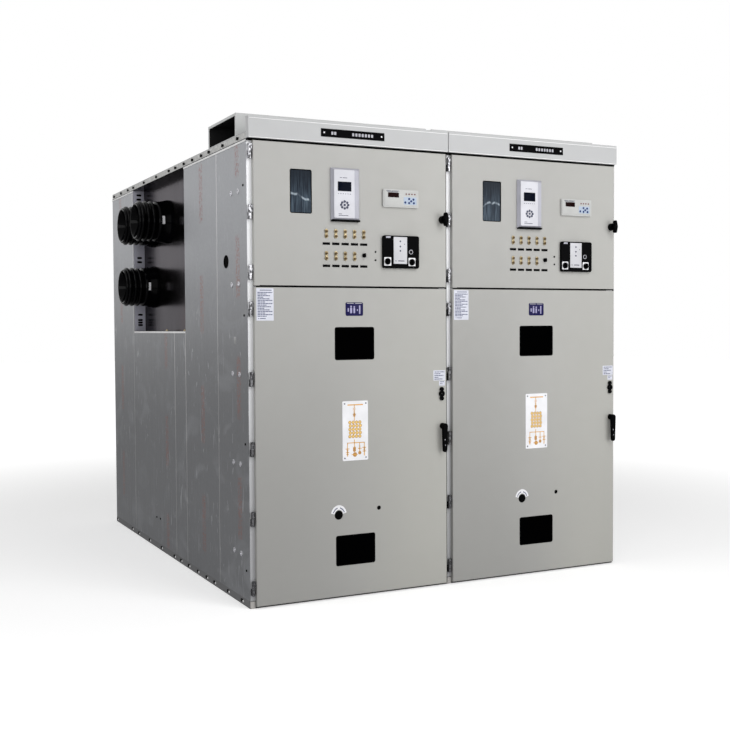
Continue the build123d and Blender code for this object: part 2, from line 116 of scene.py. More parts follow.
def shares(steps: int) -> list[float]:
    """Even shares from 0 to 1, both ends included."""
    return [step / steps for step in range(steps + 1)]


@dataclass(frozen=True)
class Cubicle:
    """One cubicle of the row.

    Args:
        number: Its place in the row, from 1.
        left: World x of its left edge.
    """

    number: int
    left: float

    def at(self, x: float, y: float, z: float) -> Vector:
        """Turn a place on this cubicle into world metres."""
        return Vector(((self.left + x) * MM, (FRONT_Y + y) * MM, z * MM))

    def named(self, name: str) -> str:
        """Name a piece or body of this cubicle."""
        return f"{name}_{self.number}"


class Bench:
    """Hand work in Blender: vectors are in metres, sizes in millimetres."""

    @staticmethod
    def clear() -> None:
        """Leave edit mode and deselect everything."""
        active = bpy.context.view_layer.objects.active
        if active is not None and active.mode != "OBJECT":
            bpy.ops.object.mode_set(mode="OBJECT")
        bpy.ops.object.select_all(action="DESELECT")

    @classmethod
    def hold(cls, piece: Piece) -> None:
        """Select one piece alone and make it active."""
        cls.clear()
        piece.select_set(True)
        bpy.context.view_layer.objects.active = piece

    @staticmethod
    def take() -> Piece:
        """Take the primitive that was just added, with its place set into its mesh."""
        bpy.ops.object.transform_apply(location=True, rotation=True, scale=True)
        return bpy.context.object

    @staticmethod
    def shift(step: Vector) -> None:
        """Extrude what is selected by a step."""
        bpy.ops.mesh.extrude_region_move(TRANSFORM_OT_translate={"value": tuple(step)})

    @staticmethod
    def reach(piece: Piece, way: Vector) -> float:
        """How far a piece reaches in one direction."""
        return max(vertex.co.dot(way) for vertex in piece.data.vertices)

    @classmethod
    def edit(cls, piece: Piece, mode: str) -> bmesh.types.BMesh:
        """Open a piece in edit mode with nothing selected.

        Args:
            piece: The piece to open.
            mode: VERT, EDGE or FACE.

        Returns:
            The piece's edit mesh.
        """
        cls.hold(piece)
        bpy.ops.object.mode_set(mode="EDIT")
        bpy.ops.mesh.select_mode(type=mode)
        bpy.ops.mesh.select_all(action="DESELECT")
        return bmesh.from_edit_mesh(piece.data)

    @classmethod
    def pick_edges(cls, piece: Piece, wanted: Callable[[Vector, Vector], bool]) -> None:
        """Select edges in edit mode.

        Args:
            piece: The piece to work on.
            wanted: A test of an edge's two ends.
        """
        for edge in cls.edit(piece, "EDGE").edges:
            if wanted(edge.verts[0].co, edge.verts[1].co):
                edge.select_set(True)
        bmesh.update_edit_mesh(piece.data)

    @classmethod
    def pick_faces(cls, piece: Piece, wanted: Callable[[Vector, Vector], bool]) -> None:
        """Select faces in edit mode.

        Args:
            piece: The piece to work on.
            wanted: A test of a face's normal and middle.
        """
        for face in cls.edit(piece, "FACE").faces:
            if wanted(face.normal, face.calc_center_median()):
                face.select_set(True)
        bmesh.update_edit_mesh(piece.data)

    @classmethod
    def pick_end(cls, piece: Piece, way: Vector) -> None:
        """Select the outermost face on one side, in edit mode.

        Args:
            piece: The piece to work on.
            way: Direction of the side.
        """
        level = cls.reach(piece, way)
        cls.pick_faces(
            piece,
            lambda normal, middle: normal.dot(way) > FACING
            and abs(middle.dot(way) - level) < SAME_LEVEL,
        )

    @classmethod
    def round_rim(cls, piece: Piece, side: Side, width: float) -> None:
        """Bevel the rim of the outermost face on one side.

        Args:
            piece: The piece to work on.
            side: The side.
            width: Width of the bevel.
        """
        way, rim = side.way, cls.reach(piece, side.way) - TOUCH
        cls.pick_edges(piece, lambda a, b: min(a.dot(way), b.dot(way)) > rim)
        bpy.ops.mesh.bevel(offset=width * MM, segments=2, affect="EDGES")
        cls.clear()

    @classmethod
    def block(
        cls, low: Vector, high: Vector, corner: float = 0.0, rim: float = 0.0,
        side: Side = Side.FRONT, steps: int = 5,
    ) -> Piece:
        """Model a plate or block between two corners.

        Args:
            low: Lowest corner.
            high: Highest corner.
            corner: Radius of the four edges that run towards the side.
            rim: Rounding of the rim on that side.
            side: The side that shows.
            steps: Segments of each corner.

        Returns:
            The finished piece.
        """
        cls.clear()
        bpy.ops.mesh.primitive_cube_add(size=1.0, location=(low + high) / 2)
        bpy.context.object.scale = high - low
        piece, way = cls.take(), side.way
        if corner > 0:
            cls.pick_edges(piece, lambda a, b: abs((a - b).normalized().dot(way)) > FACING)
            bpy.ops.mesh.bevel(offset=corner * MM, segments=steps, affect="EDGES")
            cls.clear()
        if rim > 0:
            cls.round_rim(piece, side, rim)
        return piece

    @classmethod
    def disc(
        cls, foot: Vector, radius: float, depth: float, rim: float = 0.0,
        side: Side = Side.FRONT, sides: int = 32,
    ) -> Piece:
        """Model a round that stands on a surface and looks to one side.

        Args:
            foot: Centre of its foot.
            radius: Its radius.
            depth: Its height above the foot.
            rim: Rounding of its outer rim.
            side: The side it looks to.
            sides: Number of flats round it.

        Returns:
            The finished piece.
        """
        cls.clear()
        bpy.ops.mesh.primitive_cylinder_add(
            vertices=sides, radius=radius * MM, depth=depth * MM, rotation=side.turn,
            location=foot + side.way * (depth * MM / 2),
        )
        piece = cls.take()
        if rim > 0:
            cls.round_rim(piece, side, rim)
        return piece

    @classmethod
    def ring(cls, centre: Vector, radius: float, wire: float, side: Side) -> Piece:
        """Model a ring of round wire.

        Args:
            centre: Its centre.
            radius: Radius of the ring.
            wire: Radius of the wire.
            side: The side it looks to.

        Returns:
            The finished piece.
        """
        cls.clear()
        bpy.ops.mesh.primitive_torus_add(
            location=centre, rotation=side.turn, major_radius=radius * MM,
            minor_radius=wire * MM, major_segments=32, minor_segments=8,
        )
        return cls.take()

    @classmethod
    def recess(cls, piece: Piece, side: Side, border: float, depth: float) -> None:
        """Inset the outermost face on one side and push it in.

        Args:
            piece: The piece to work on.
            side: The side.
            border: Width of the border that stays.
            depth: How far the face goes in.
        """
        cls.pick_end(piece, side.way)
        bpy.ops.mesh.inset(thickness=border * MM, depth=0.0)
        cls.shift(-side.way * depth * MM)
        cls.clear()

    @classmethod
    def turned(
        cls, points: Sequence[Vector], centre: Vector, axis: Vector,
        angle: float = math.tau, steps: int = 80,
    ) -> Piece:
        """Turn a profile about an axis, as on a lathe.

        Args:
            points: The profile, drawn edge by edge from its first point.
            centre: A point on the axis.
            axis: Direction of the axis.
            angle: How far it turns.
            steps: Segments of the turn.

        Returns:
            The turned piece, its faces outwards.
        """
        cls.clear()
        bpy.ops.mesh.primitive_plane_add(size=0.001, location=points[0])
        piece = cls.take()
        cls.edit(piece, "VERT")
        bpy.ops.mesh.select_all(action="SELECT")
        bpy.ops.mesh.merge(type="CENTER")
        for before, after in zip(points, points[1:]):
            cls.shift(after - before)
        bpy.ops.mesh.select_all(action="SELECT")
        bpy.ops.mesh.spin(steps=steps, angle=angle, center=centre, axis=axis)
        bpy.ops.mesh.select_all(action="SELECT")
        bpy.ops.mesh.remove_doubles(threshold=WELD)
        bpy.ops.mesh.normals_make_consistent(inside=False)
        cls.clear()
        return piece

    @classmethod
    def thicken(cls, piece: Piece, thickness: float) -> Piece:
        """Give a single skin its thickness.

        Args:
            piece: The skin.
            thickness: Its thickness, outwards.

        Returns:
            The same piece.
        """
        cls.hold(piece)
        skin = piece.modifiers.new("thickness", "SOLIDIFY")
        skin.thickness = thickness * MM
        skin.offset = 1.0
        bpy.ops.object.modifier_apply(modifier=skin.name)
        return piece

    @staticmethod
    def copy(piece: Piece, step: Vector) -> Piece:
        """Copy a piece with its own mesh.

        Args:
            piece: The piece.
            step: How far the copy stands from it.

        Returns:
            The copy.
        """
        twin = piece.copy()
        twin.data = piece.data.copy()
        twin.data.transform(Matrix.Translation(step))
        bpy.context.scene.collection.objects.link(twin)
        return twin

    @classmethod
    def repeat(cls, piece: Piece, steps: Iterable[Vector]) -> list[Piece]:
        """Copy a piece to several steps away and remove the first.

        Args:
            piece: The piece.
            steps: How far each copy stands from it.

        Returns:
            The copies.
        """
        made = [cls.copy(piece, step) for step in steps]
        bpy.data.objects.remove(piece)
        return made

    @classmethod
    def join(cls, name: str, parts: Sequence[Piece]) -> Piece:
        """Join loose parts into one named piece.

        Args:
            name: The piece's name.
            parts: Its parts, one or more.

        Returns:
            The piece.
        """
        whole = parts[0]
        cls.hold(whole)
        for part in parts:
            part.select_set(True)
        if len(parts) > 1:
            bpy.ops.object.join()
        whole.name = whole.data.name = name
        return whole


class Nodes:
    """A node tree, written as short steps."""

    def __init__(self, tree: bpy.types.NodeTree) -> None:
        """Work on one tree."""
        self.tree = tree

    def step(self, kind: str, wires: dict[int | str, object], **options: object) -> bpy.types.Node:
        """Add a node.

        Args:
            kind: Its Blender type without the ShaderNode prefix.
            wires: What goes into each input, a socket or a value.
            options: Its settings.

        Returns:
            The node.
        """
        node = self.tree.nodes.new("ShaderNode" + kind)
        for key, value in options.items():
            setattr(node, key, value)
        for key, value in wires.items():
            if isinstance(value, Socket):
                self.tree.links.new(value, node.inputs[key])
            else:
                node.inputs[key].default_value = value
        return node

    def span(self, value: Socket, low: float, high: float, to_low: float, to_high: float) -> Socket:
        """Carry a value from one range to another, clamped and eased.

        Args:
            value: The value.
            low: Start of its range.
            high: End of its range, which may lie below the start.
            to_low: Result at the start.
            to_high: Result at the end.

        Returns:
            The result.
        """
        wires = {"Value": value, "From Min": low, "From Max": high}
        wires.update({"To Min": to_low, "To Max": to_high})
        return self.step("MapRange", wires, interpolation_type="SMOOTHSTEP").outputs[0]

    def sum(self, operation: str, first: object, second: object = 0.0) -> Socket:
        """A sum of one or two values: ADD, MULTIPLY, MAXIMUM, ABSOLUTE and so on."""
        return self.step("Math", {0: first, 1: second}, operation=operation).outputs[0]

    def times(self, first: object, second: object) -> Socket:
        """Product of two values."""
        return self.sum("MULTIPLY", first, second)

    def off(self, value: Socket, centre: float) -> Socket:
        """Distance of a value from a centre."""
        return self.sum("ABSOLUTE", self.sum("SUBTRACT", value, centre))


class Graph(Nodes):
    """A material's nodes, all of which read Object coordinates.

    Args:
        name: The material's name.
    """

    SOCKETS = {
        "colour": "Base Color", "roughness": "Roughness", "metallic": "Metallic",
        "specular": "Specular IOR Level", "rim": "Specular Tint", "glow_colour": "Emission Color",
    }

    def __init__(self, name: str) -> None:
        """Start a material with one Principled shader."""
        self.material = bpy.data.materials.new(name)
        self.material.use_nodes = True
        super().__init__(self.material.node_tree)
        self.shader = self.tree.nodes["Principled BSDF"]
        self.place = self.tree.nodes.new("ShaderNodeTexCoord").outputs["Object"]

    def stretched(self, scale: Place) -> Socket:
        """Object coordinates, scaled along each axis."""
        return self.step("Mapping", {0: self.place, "Scale": tuple(scale)}).outputs[0]

    def noise(
        self, scale: float, along: Place = (1, 1, 1), detail: float = 3.0, warp: float = 0.0
    ) -> Socket:
        """Noise from 0 to 1.

        Args:
            scale: Its fineness per metre.
            along: Further scale along each axis, below 1 to stretch its cells.
            detail: How many finer layers it has.
            warp: How far it is drawn out of shape.

        Returns:
            The noise.
        """
        wires = {"Vector": self.stretched(along), "Scale": scale, "Detail": detail}
        wires["Distortion"] = warp
        return self.step("TexNoise", wires).outputs[0]

    def cloud(self, scale: float, along: Place = (1, 1, 1), detail: float = 3.0) -> Socket:
        """Soft patches from 0 to 1, with the scale, stretch and detail of noise."""
        return self.span(self.noise(scale, along, detail), 0.3, 0.7, 0.0, 1.0)

    def cells(self, scale: float, along: Place = (1, 1, 1)) -> Socket:
        """A random grey for each crystal-like cell."""
        node = self.step("TexVoronoi", {"Vector": self.stretched(along), "Scale": scale})
        return self.step("SeparateColor", {0: node.outputs["Color"]}).outputs[0]

    def axis(self, name: str) -> Socket:
        """One Object coordinate: X, Y or Z."""
        return self.step("SeparateXYZ", {0: self.place}).outputs[name]

    def across(self) -> Socket:
        """X measured from the left edge of its cubicle."""
        width = WIDTH * MM
        return self.sum("MODULO", self.sum("ADD", self.axis("X"), width), width)

    def band(self, axis: str, centre: float, width: float, soft: float) -> Socket:
        """1 inside a band along an axis and 0 outside.

        Args:
            axis: X, Y or Z.
            centre: Middle of the band.
            width: Width of the band.
            soft: Width of its soft edge.

        Returns:
            The band.
        """
        away = self.off(self.axis(axis), centre)
        return self.span(away, width / 2, width / 2 + soft, 1.0, 0.0)

    def mix(self, share: object, first: object, second: object, mode: str = "MIX") -> Socket:
        """Blend two colours.

        Args:
            share: Share of the second colour.
            first: The first colour.
            second: The second colour.
            mode: How they blend.

        Returns:
            The blended colour.
        """
        wires = {0: share, 6: first, 7: second}
        for key in (6, 7):
            if not isinstance(wires[key], Socket):
                wires[key] = (*wires[key], 1.0)
        return self.step("Mix", wires, data_type="RGBA", blend_type=mode).outputs[2]

    def tint(self, first: object, second: object) -> Socket:
        """Multiply two colours."""
        return self.mix(1.0, first, second, "MULTIPLY")

    def set(self, **values: object) -> None:
        """Set constants on the shader.

        Args:
            values: A number or colour for each name in SOCKETS.
        """
        for key, value in values.items():
            if isinstance(value, tuple):
                value = (*value, 1.0)
            self.shader.inputs[self.SOCKETS[key]].default_value = value

    def feed(self, name: str, socket: Socket) -> None:
        """Wire a socket into one of the shader's inputs."""
        self.tree.links.new(socket, self.shader.inputs[name])

    def paint(self, colour: Socket) -> None:
        """Wire a colour into the shader."""
        self.feed("Base Color", colour)

    def rough(self, noise: Socket, low: float, high: float) -> None:
        """Let the roughness follow a noise between two values."""
        self.feed("Roughness", self.span(noise, 0.3, 0.7, low, high))

    def bump(self, height: Socket, distance: float) -> None:
        """Raise the surface by a height of 0 to 1 times a distance."""
        node = self.step("Bump", {"Height": height, "Distance": distance, "Strength": 1.0})
        self.feed("Normal", node.outputs[0])


@dataclass(frozen=True)
class Finish:
    """A plain satin finish with faint mottling: the base of all finishes.

    Args:
        name: The material's name.
        colour: Its colour, linear.
        roughness: Its roughness.
        sheen: Strength of its mirror reflections.
    """

    name: str
    colour: Colour
    roughness: float = 0.5
    sheen: float = 0.5

    def shade(self, factor: float) -> Colour:
        """The colour made lighter or darker."""
        return tuple(min(1.0, part * factor) for part in self.colour)

    def mottled(self, graph: Graph, pattern: Socket, depth: float) -> Socket:
        """The colour, varied up and down by a depth where a pattern runs from 0 to 1."""
        return graph.mix(pattern, self.shade(1 - depth), self.shade(1 + depth))

    def dress(self, graph: Graph) -> None:
        """Add this finish's own nodes: here soft mottling and a fine grain."""
        graph.paint(self.mottled(graph, graph.cloud(9.0), 0.05))
        grain = graph.noise(700.0, detail=2.0)
        graph.rough(grain, self.roughness * 0.92, min(1.0, self.roughness * 1.08))
        graph.bump(grain, 0.00004)

    def material(self) -> bpy.types.Material:
        """Build the material."""
        graph = Graph(self.name)
        graph.set(colour=self.colour, roughness=self.roughness, specular=self.sheen)
        self.dress(graph)
        return graph.material


@dataclass(frozen=True)
class PowderCoat(Finish):
    """Fine-textured powder coat on sheet steel.

    Args:
        drift: How much the tone drifts over the sheet.
        low_tone: Share of the colour at the floor: painted shade, darker towards the floor.
        across: Painted light and shade from the left to the right edge of a cubicle, near the floor
            and the top: darker on the left, lighter and warmer on the right.
        peel: Height of the orange-peel texture.
    """

    drift: float = 0.03
    low_tone: float = 1.0
    across: tuple[float, float] = (0.0, 0.0)
    peel: float = 0.00006

    def dress(self, graph: Graph) -> None:
        """Slow tone drift, faint wipe marks, painted shade towards the floor, painted light across
        the cubicle and a fine orange peel.
        """
        tone = self.mottled(graph, graph.cloud(1.3, (1, 1, 0.5), 2.0), self.drift)
        wipe = graph.span(graph.noise(5.0, (0.6, 1, 2.4), 5.0, 0.8), 0.56, 0.76, 0.0, 0.16)
        tone = graph.mix(wipe, tone, self.shade(1.07))
        # Painted shade: the colour falls to low_tone of itself towards the floor.
        height = graph.span(graph.axis("Z"), 0.0, 2.3, 0.0, 1.0)
        tone = graph.tint(tone, graph.mix(height, (self.low_tone,) * 3, WHITE))
        # Painted light and shade: lighter and warmer towards a cubicle's right edge, darker towards
        # its left.
        if self.across[0] > 0:
            slope = graph.span(graph.across(), 0.1, 1.1, -0.5, 0.5)
            gain = graph.times(slope, graph.span(graph.axis("Z"), 0.2, 2.4, *self.across))
            tone = graph.tint(tone, graph.mix(gain, WHITE, (1.95, 1.94, 1.7)))
            tone = graph.tint(tone, graph.mix(graph.times(gain, -1.0), WHITE, BLACK))
        graph.paint(tone)
        graph.rough(graph.noise(14.0), self.roughness * 0.9, min(1.0, self.roughness * 1.12))
        fine = graph.times(graph.noise(1500.0, detail=1.0), 0.5)
        graph.bump(graph.sum("ADD", graph.noise(420.0, detail=2.0), fine), self.peel)


@dataclass(frozen=True)
class ZincSheet(Finish):
    """Zinc-coated sheet: fine crystals, rolling streaks, handling smears.

    Args:
        low_tone: Share of the colour near the floor: painted shade, darker towards the floor.
        film: Places along Y of the columns of protective-film residue.
        film_colour: Colour of that residue.
        film_pitch: Distance between two patches of a column.
        crystal: Contrast of the crystals.
    """

    low_tone: float = 0.5
    film: tuple[float, ...] = ()
    film_colour: Colour = (0.27, 0.10, 0.08)
    film_pitch: float = 0.64
    crystal: float = 0.04

    def residue(self, graph: Graph) -> Socket:
        """Where the film left its marks: broken patches, one above the other."""
        cover = None
        for place in self.film:
            start = graph.sum("ADD", graph.axis("Z"), 2.0 + 0.31 * place)
            away = graph.off(graph.sum("MODULO", start, self.film_pitch), 0.2)
            patch = graph.times(
                graph.band("Y", place, 0.045, 0.015), graph.span(away, 0.15, 0.18, 1.0, 0.0)
            )
            cover = patch if cover is None else graph.sum("MAXIMUM", cover, patch)
        blot = graph.span(graph.noise(95.0, (1, 1, 0.7), 3.0, 0.8), 0.46, 0.56, 0.0, 0.6)
        return graph.times(cover, blot)

    def dress(self, graph: Graph) -> None:
        """Layer the tones, from painted shade towards the floor and the coating up to the smears on
        it.
        """
        graph.set(metallic=0.62)
        # Painted shade: the colour falls to low_tone of itself towards the floor.
        height = graph.span(graph.axis("Z"), 1.2, 2.2, self.low_tone, 1.0)
        dark, light = (1 - self.crystal,) * 3, (1 + self.crystal,) * 3
        grain = graph.mix(graph.cells(150.0, (1, 1, 0.55)), dark, light)
        tone = graph.tint(graph.mix(height, BLACK, self.colour), grain)
        streak = graph.span(graph.noise(16.0, (4, 4, 0.12), 5.0), 0.35, 0.7, 0.0, 1.0)
        tone = graph.mix(streak, tone, graph.tint(tone, (1.03, 1.03, 1.035)))
        smear = graph.span(graph.noise(2.2, (1, 1, 1.6), 6.0, 1.6), 0.52, 0.7, 0.0, 0.24)
        tone = graph.mix(smear, tone, self.shade(1.2))
        scratch = graph.span(graph.noise(7.0, (1, 3.0, 0.5), 8.0, 2.5), 0.64, 0.665, 0.0, 0.4)
        tone = graph.mix(scratch, tone, self.shade(1.5))
        if self.film:
            tone = graph.mix(self.residue(graph), tone, self.film_colour)
        graph.paint(tone)
        gloss = graph.sum("ADD", graph.span(streak, 0.0, 1.0, 0.0, 0.04), self.roughness - 0.02)
        graph.feed("Roughness", graph.sum("ADD", gloss, graph.span(smear, 0.0, 0.4, 0.0, 0.1)))
        fine = graph.times(graph.noise(260.0, (1, 1, 0.6), 2.0), 0.006)
        graph.bump(graph.sum("ADD", graph.noise(3.0, (1, 1, 0.5), 2.0), fine), 0.0012)


@dataclass(frozen=True)
class BrightTray(Finish):
    """Bright rolled steel that mirrors what stands before it; its dark colour is a painted
    reflection of its dark surroundings.
    """

    def dress(self, graph: Graph) -> None:
        """Rolling marks, painted shade darker towards the foot and a little lighter at the top, a
        warm patch at the foot and soft waves.
        """
        graph.set(metallic=1.0, rim=(0.71, 0.70, 0.72))
        line = graph.noise(60.0, (1, 1, 0.06), 4.0)
        # Painted shade: darker towards the foot of the recess, a little lighter at its top.
        high = graph.span(graph.axis("Z"), 2.44, 2.2, 1.1, 1.0)
        low = graph.span(graph.axis("Z"), 1.95, 1.6, 1.0, 0.5)
        grey = graph.mix(graph.times(high, low), BLACK, WHITE)
        tone = graph.tint(self.mottled(graph, line, 0.06), grey)
        warm = graph.span(graph.axis("Z"), 1.75, 1.5, 0.0, 1.0)
        front = graph.span(graph.axis("Y"), 0.1, -0.3, 0.0, 0.55)
        graph.paint(graph.mix(graph.times(warm, front), tone, (0.07, 0.035, 0.028)))
        graph.rough(line, self.roughness, self.roughness + 0.08)
        graph.bump(graph.noise(2.5, (1, 1, 1), 2.0), 0.001)


@dataclass(frozen=True)
class CastResin(Finish):
    """Black gloss cast resin with a faint flow in its skin."""

    def dress(self, graph: Graph) -> None:
        """Gloss, dulled by dust in places."""
        dust = graph.span(graph.noise(11.0, detail=5.0), 0.45, 0.8, 0.0, 1.0)
        graph.paint(graph.mix(dust, self.colour, self.shade(1.5)))
        graph.feed("Roughness", graph.span(dust, 0.0, 1.0, self.roughness, self.roughness + 0.12))
        graph.bump(graph.noise(35.0, detail=2.0), 0.0001)


@dataclass(frozen=True)
class Metal(Finish):
    """Plated metal: zinc, brass or plain steel.

    Args:
        tarnish: How far the darker spots go.
    """

    tarnish: float = 0.35

    def dress(self, graph: Graph) -> None:
        """Turning marks and darker spots where it was handled."""
        graph.set(metallic=1.0)
        spot = graph.span(graph.noise(55.0, detail=4.0), 0.42, 0.68, 0.0, self.tarnish)
        graph.paint(graph.mix(spot, self.colour, self.shade(0.45)))
        fine = graph.noise(320.0, (1, 1, 0.3), 2.0)
        graph.rough(fine, self.roughness * 0.8, self.roughness * 1.3)
        graph.bump(fine, 0.00005)


@dataclass(frozen=True)
class HingeZinc(Finish):
    """Zinc castings, brighter near the top of the doors than near the floor.

    Args:
        low_tone: Share of the colour near the floor.
    """

    low_tone: float = 0.3

    def dress(self, graph: Graph) -> None:
        """Blotched casting skin with a tone that falls with height."""
        graph.set(metallic=1.0)
        height = graph.span(graph.axis("Z"), 1.3, 1.9, self.low_tone, 1.0)
        tone = graph.mix(height, BLACK, self.colour)
        blot = graph.span(graph.noise(85.0, (1, 1, 0.8), 4.0, 0.5), 0.42, 0.58, 0.0, 0.85)
        graph.paint(graph.mix(blot, tone, self.shade(0.08)))
        graph.feed("Roughness", graph.span(blot, 0.0, 0.85, self.roughness, self.roughness + 0.25))
        graph.bump(graph.noise(150.0, detail=3.0), 0.0008)


@dataclass(frozen=True)
class DarkPane(Finish):
    """Glass over a dark space, drawn as an opaque sheet whose dark colour is painted shade of that
    space, with the faint streaks of what stands behind it.

    Args:
        streaks: Brightness of the streaks, 0 for plain black.
        tint: Colour of the streaks.
        glint: Colour of the bright line, a painted highlight.
        glint_z: Height of the painted highlight.
    """

    streaks: float = 0.0
    tint: Colour = (0.10, 0.14, 0.18)
    glint: Colour = (0.55, 0.64, 0.72)
    glint_z: float = 2.158

    def streaky(self, graph: Graph) -> Socket:
        """Upright streaks, a tone lighter towards the bottom, and one painted highlight: a bright
        wavering line.
        """
        line = graph.noise(130.0, (1.6, 1, 0.06), 5.0)
        low = graph.span(graph.axis("Z"), 2.29, 2.12, 0.12, 1.0)
        stripe = graph.times(graph.span(line, 0.38, 0.66, 0.0, self.streaks), low)
        tone = graph.mix(graph.times(low, 0.5), self.colour, self.shade(2.6))
        tone = graph.mix(stripe, tone, self.tint)
        # Painted highlight: a bright wavering line across the glass at glint_z.
        wave = graph.sum("SUBTRACT", graph.noise(11.0, (1, 1, 0.0), 2.0), 0.5)
        place = graph.sum("ADD", graph.axis("Z"), graph.times(wave, 0.11))
        glint = graph.span(graph.off(place, self.glint_z), 0.001, 0.009, 0.6, 0.0)
        broken = graph.span(graph.noise(38.0, (1.4, 1, 0.3), 3.0), 0.42, 0.62, 0.1, 1.0)
        return graph.mix(graph.times(glint, broken), tone, self.glint)

    def dress(self, graph: Graph) -> None:
        """Streaks or a soft haze under the gloss."""
        haze = graph.noise(4.0, detail=3.0)
        graph.paint(self.streaky(graph) if self.streaks > 0 else self.mottled(graph, haze, 0.3))
        graph.rough(haze, self.roughness, self.roughness + 0.05)


@dataclass(frozen=True)
class PaintedShadeRegion(Finish):
    """A sheet whose colour differs inside a region: on the base, painted shade on the front face
    under the doors.

    Args:
        other: Colour inside the region.
        axis: Axis of the region.
        centre: Middle of the region.
        width: Its width.
    """

    other: Colour = BLACK
    axis: str = "Y"
    centre: float = 0.0
    width: float = 0.0

    def dress(self, graph: Graph) -> None:
        """Mottled colour with a firm change to the painted shade at the region's edge."""
        inside = graph.band(self.axis, self.centre, self.width, 0.0004)
        graph.paint(graph.mix(inside, self.mottled(graph, graph.cloud(6.0), 0.04), self.other))
        grain = graph.noise(420.0, detail=2.0)
        graph.rough(grain, self.roughness, self.roughness + 0.08)
        graph.bump(grain, 0.00005)


@dataclass(frozen=True)
class DuctPaint(Finish):
    """Painted duct, its inner faces black as painted shade.

    Args:
        inner: Colour of the inner faces: painted shade.
    """

    inner: Colour = (0.003, 0.003, 0.0035)

    def dress(self, graph: Graph) -> None:
        """Tell inner from outer faces by their place, a sheet's thickness in."""
        deep = graph.band("Y", -1.037, 0.44 - 0.005, 0.0002)
        roof = graph.span(graph.axis("Z"), 2.5995, 2.5993, 0.0, 1.0)
        floor = graph.span(graph.axis("Z"), 2.4822, 2.4824, 0.0, 1.0)
        inside = graph.times(graph.times(deep, roof), floor)
        end = graph.span(graph.across(), 0.0028, 0.003, 0.0, 1.0)
        tone = self.mottled(graph, graph.cloud(6.0), 0.03)
        # Painted shade: the inner faces inside the open end take the inner colour.
        graph.paint(graph.mix(graph.times(end, inside), tone, self.inner))
        graph.bump(graph.noise(420.0, detail=2.0), 0.00005)


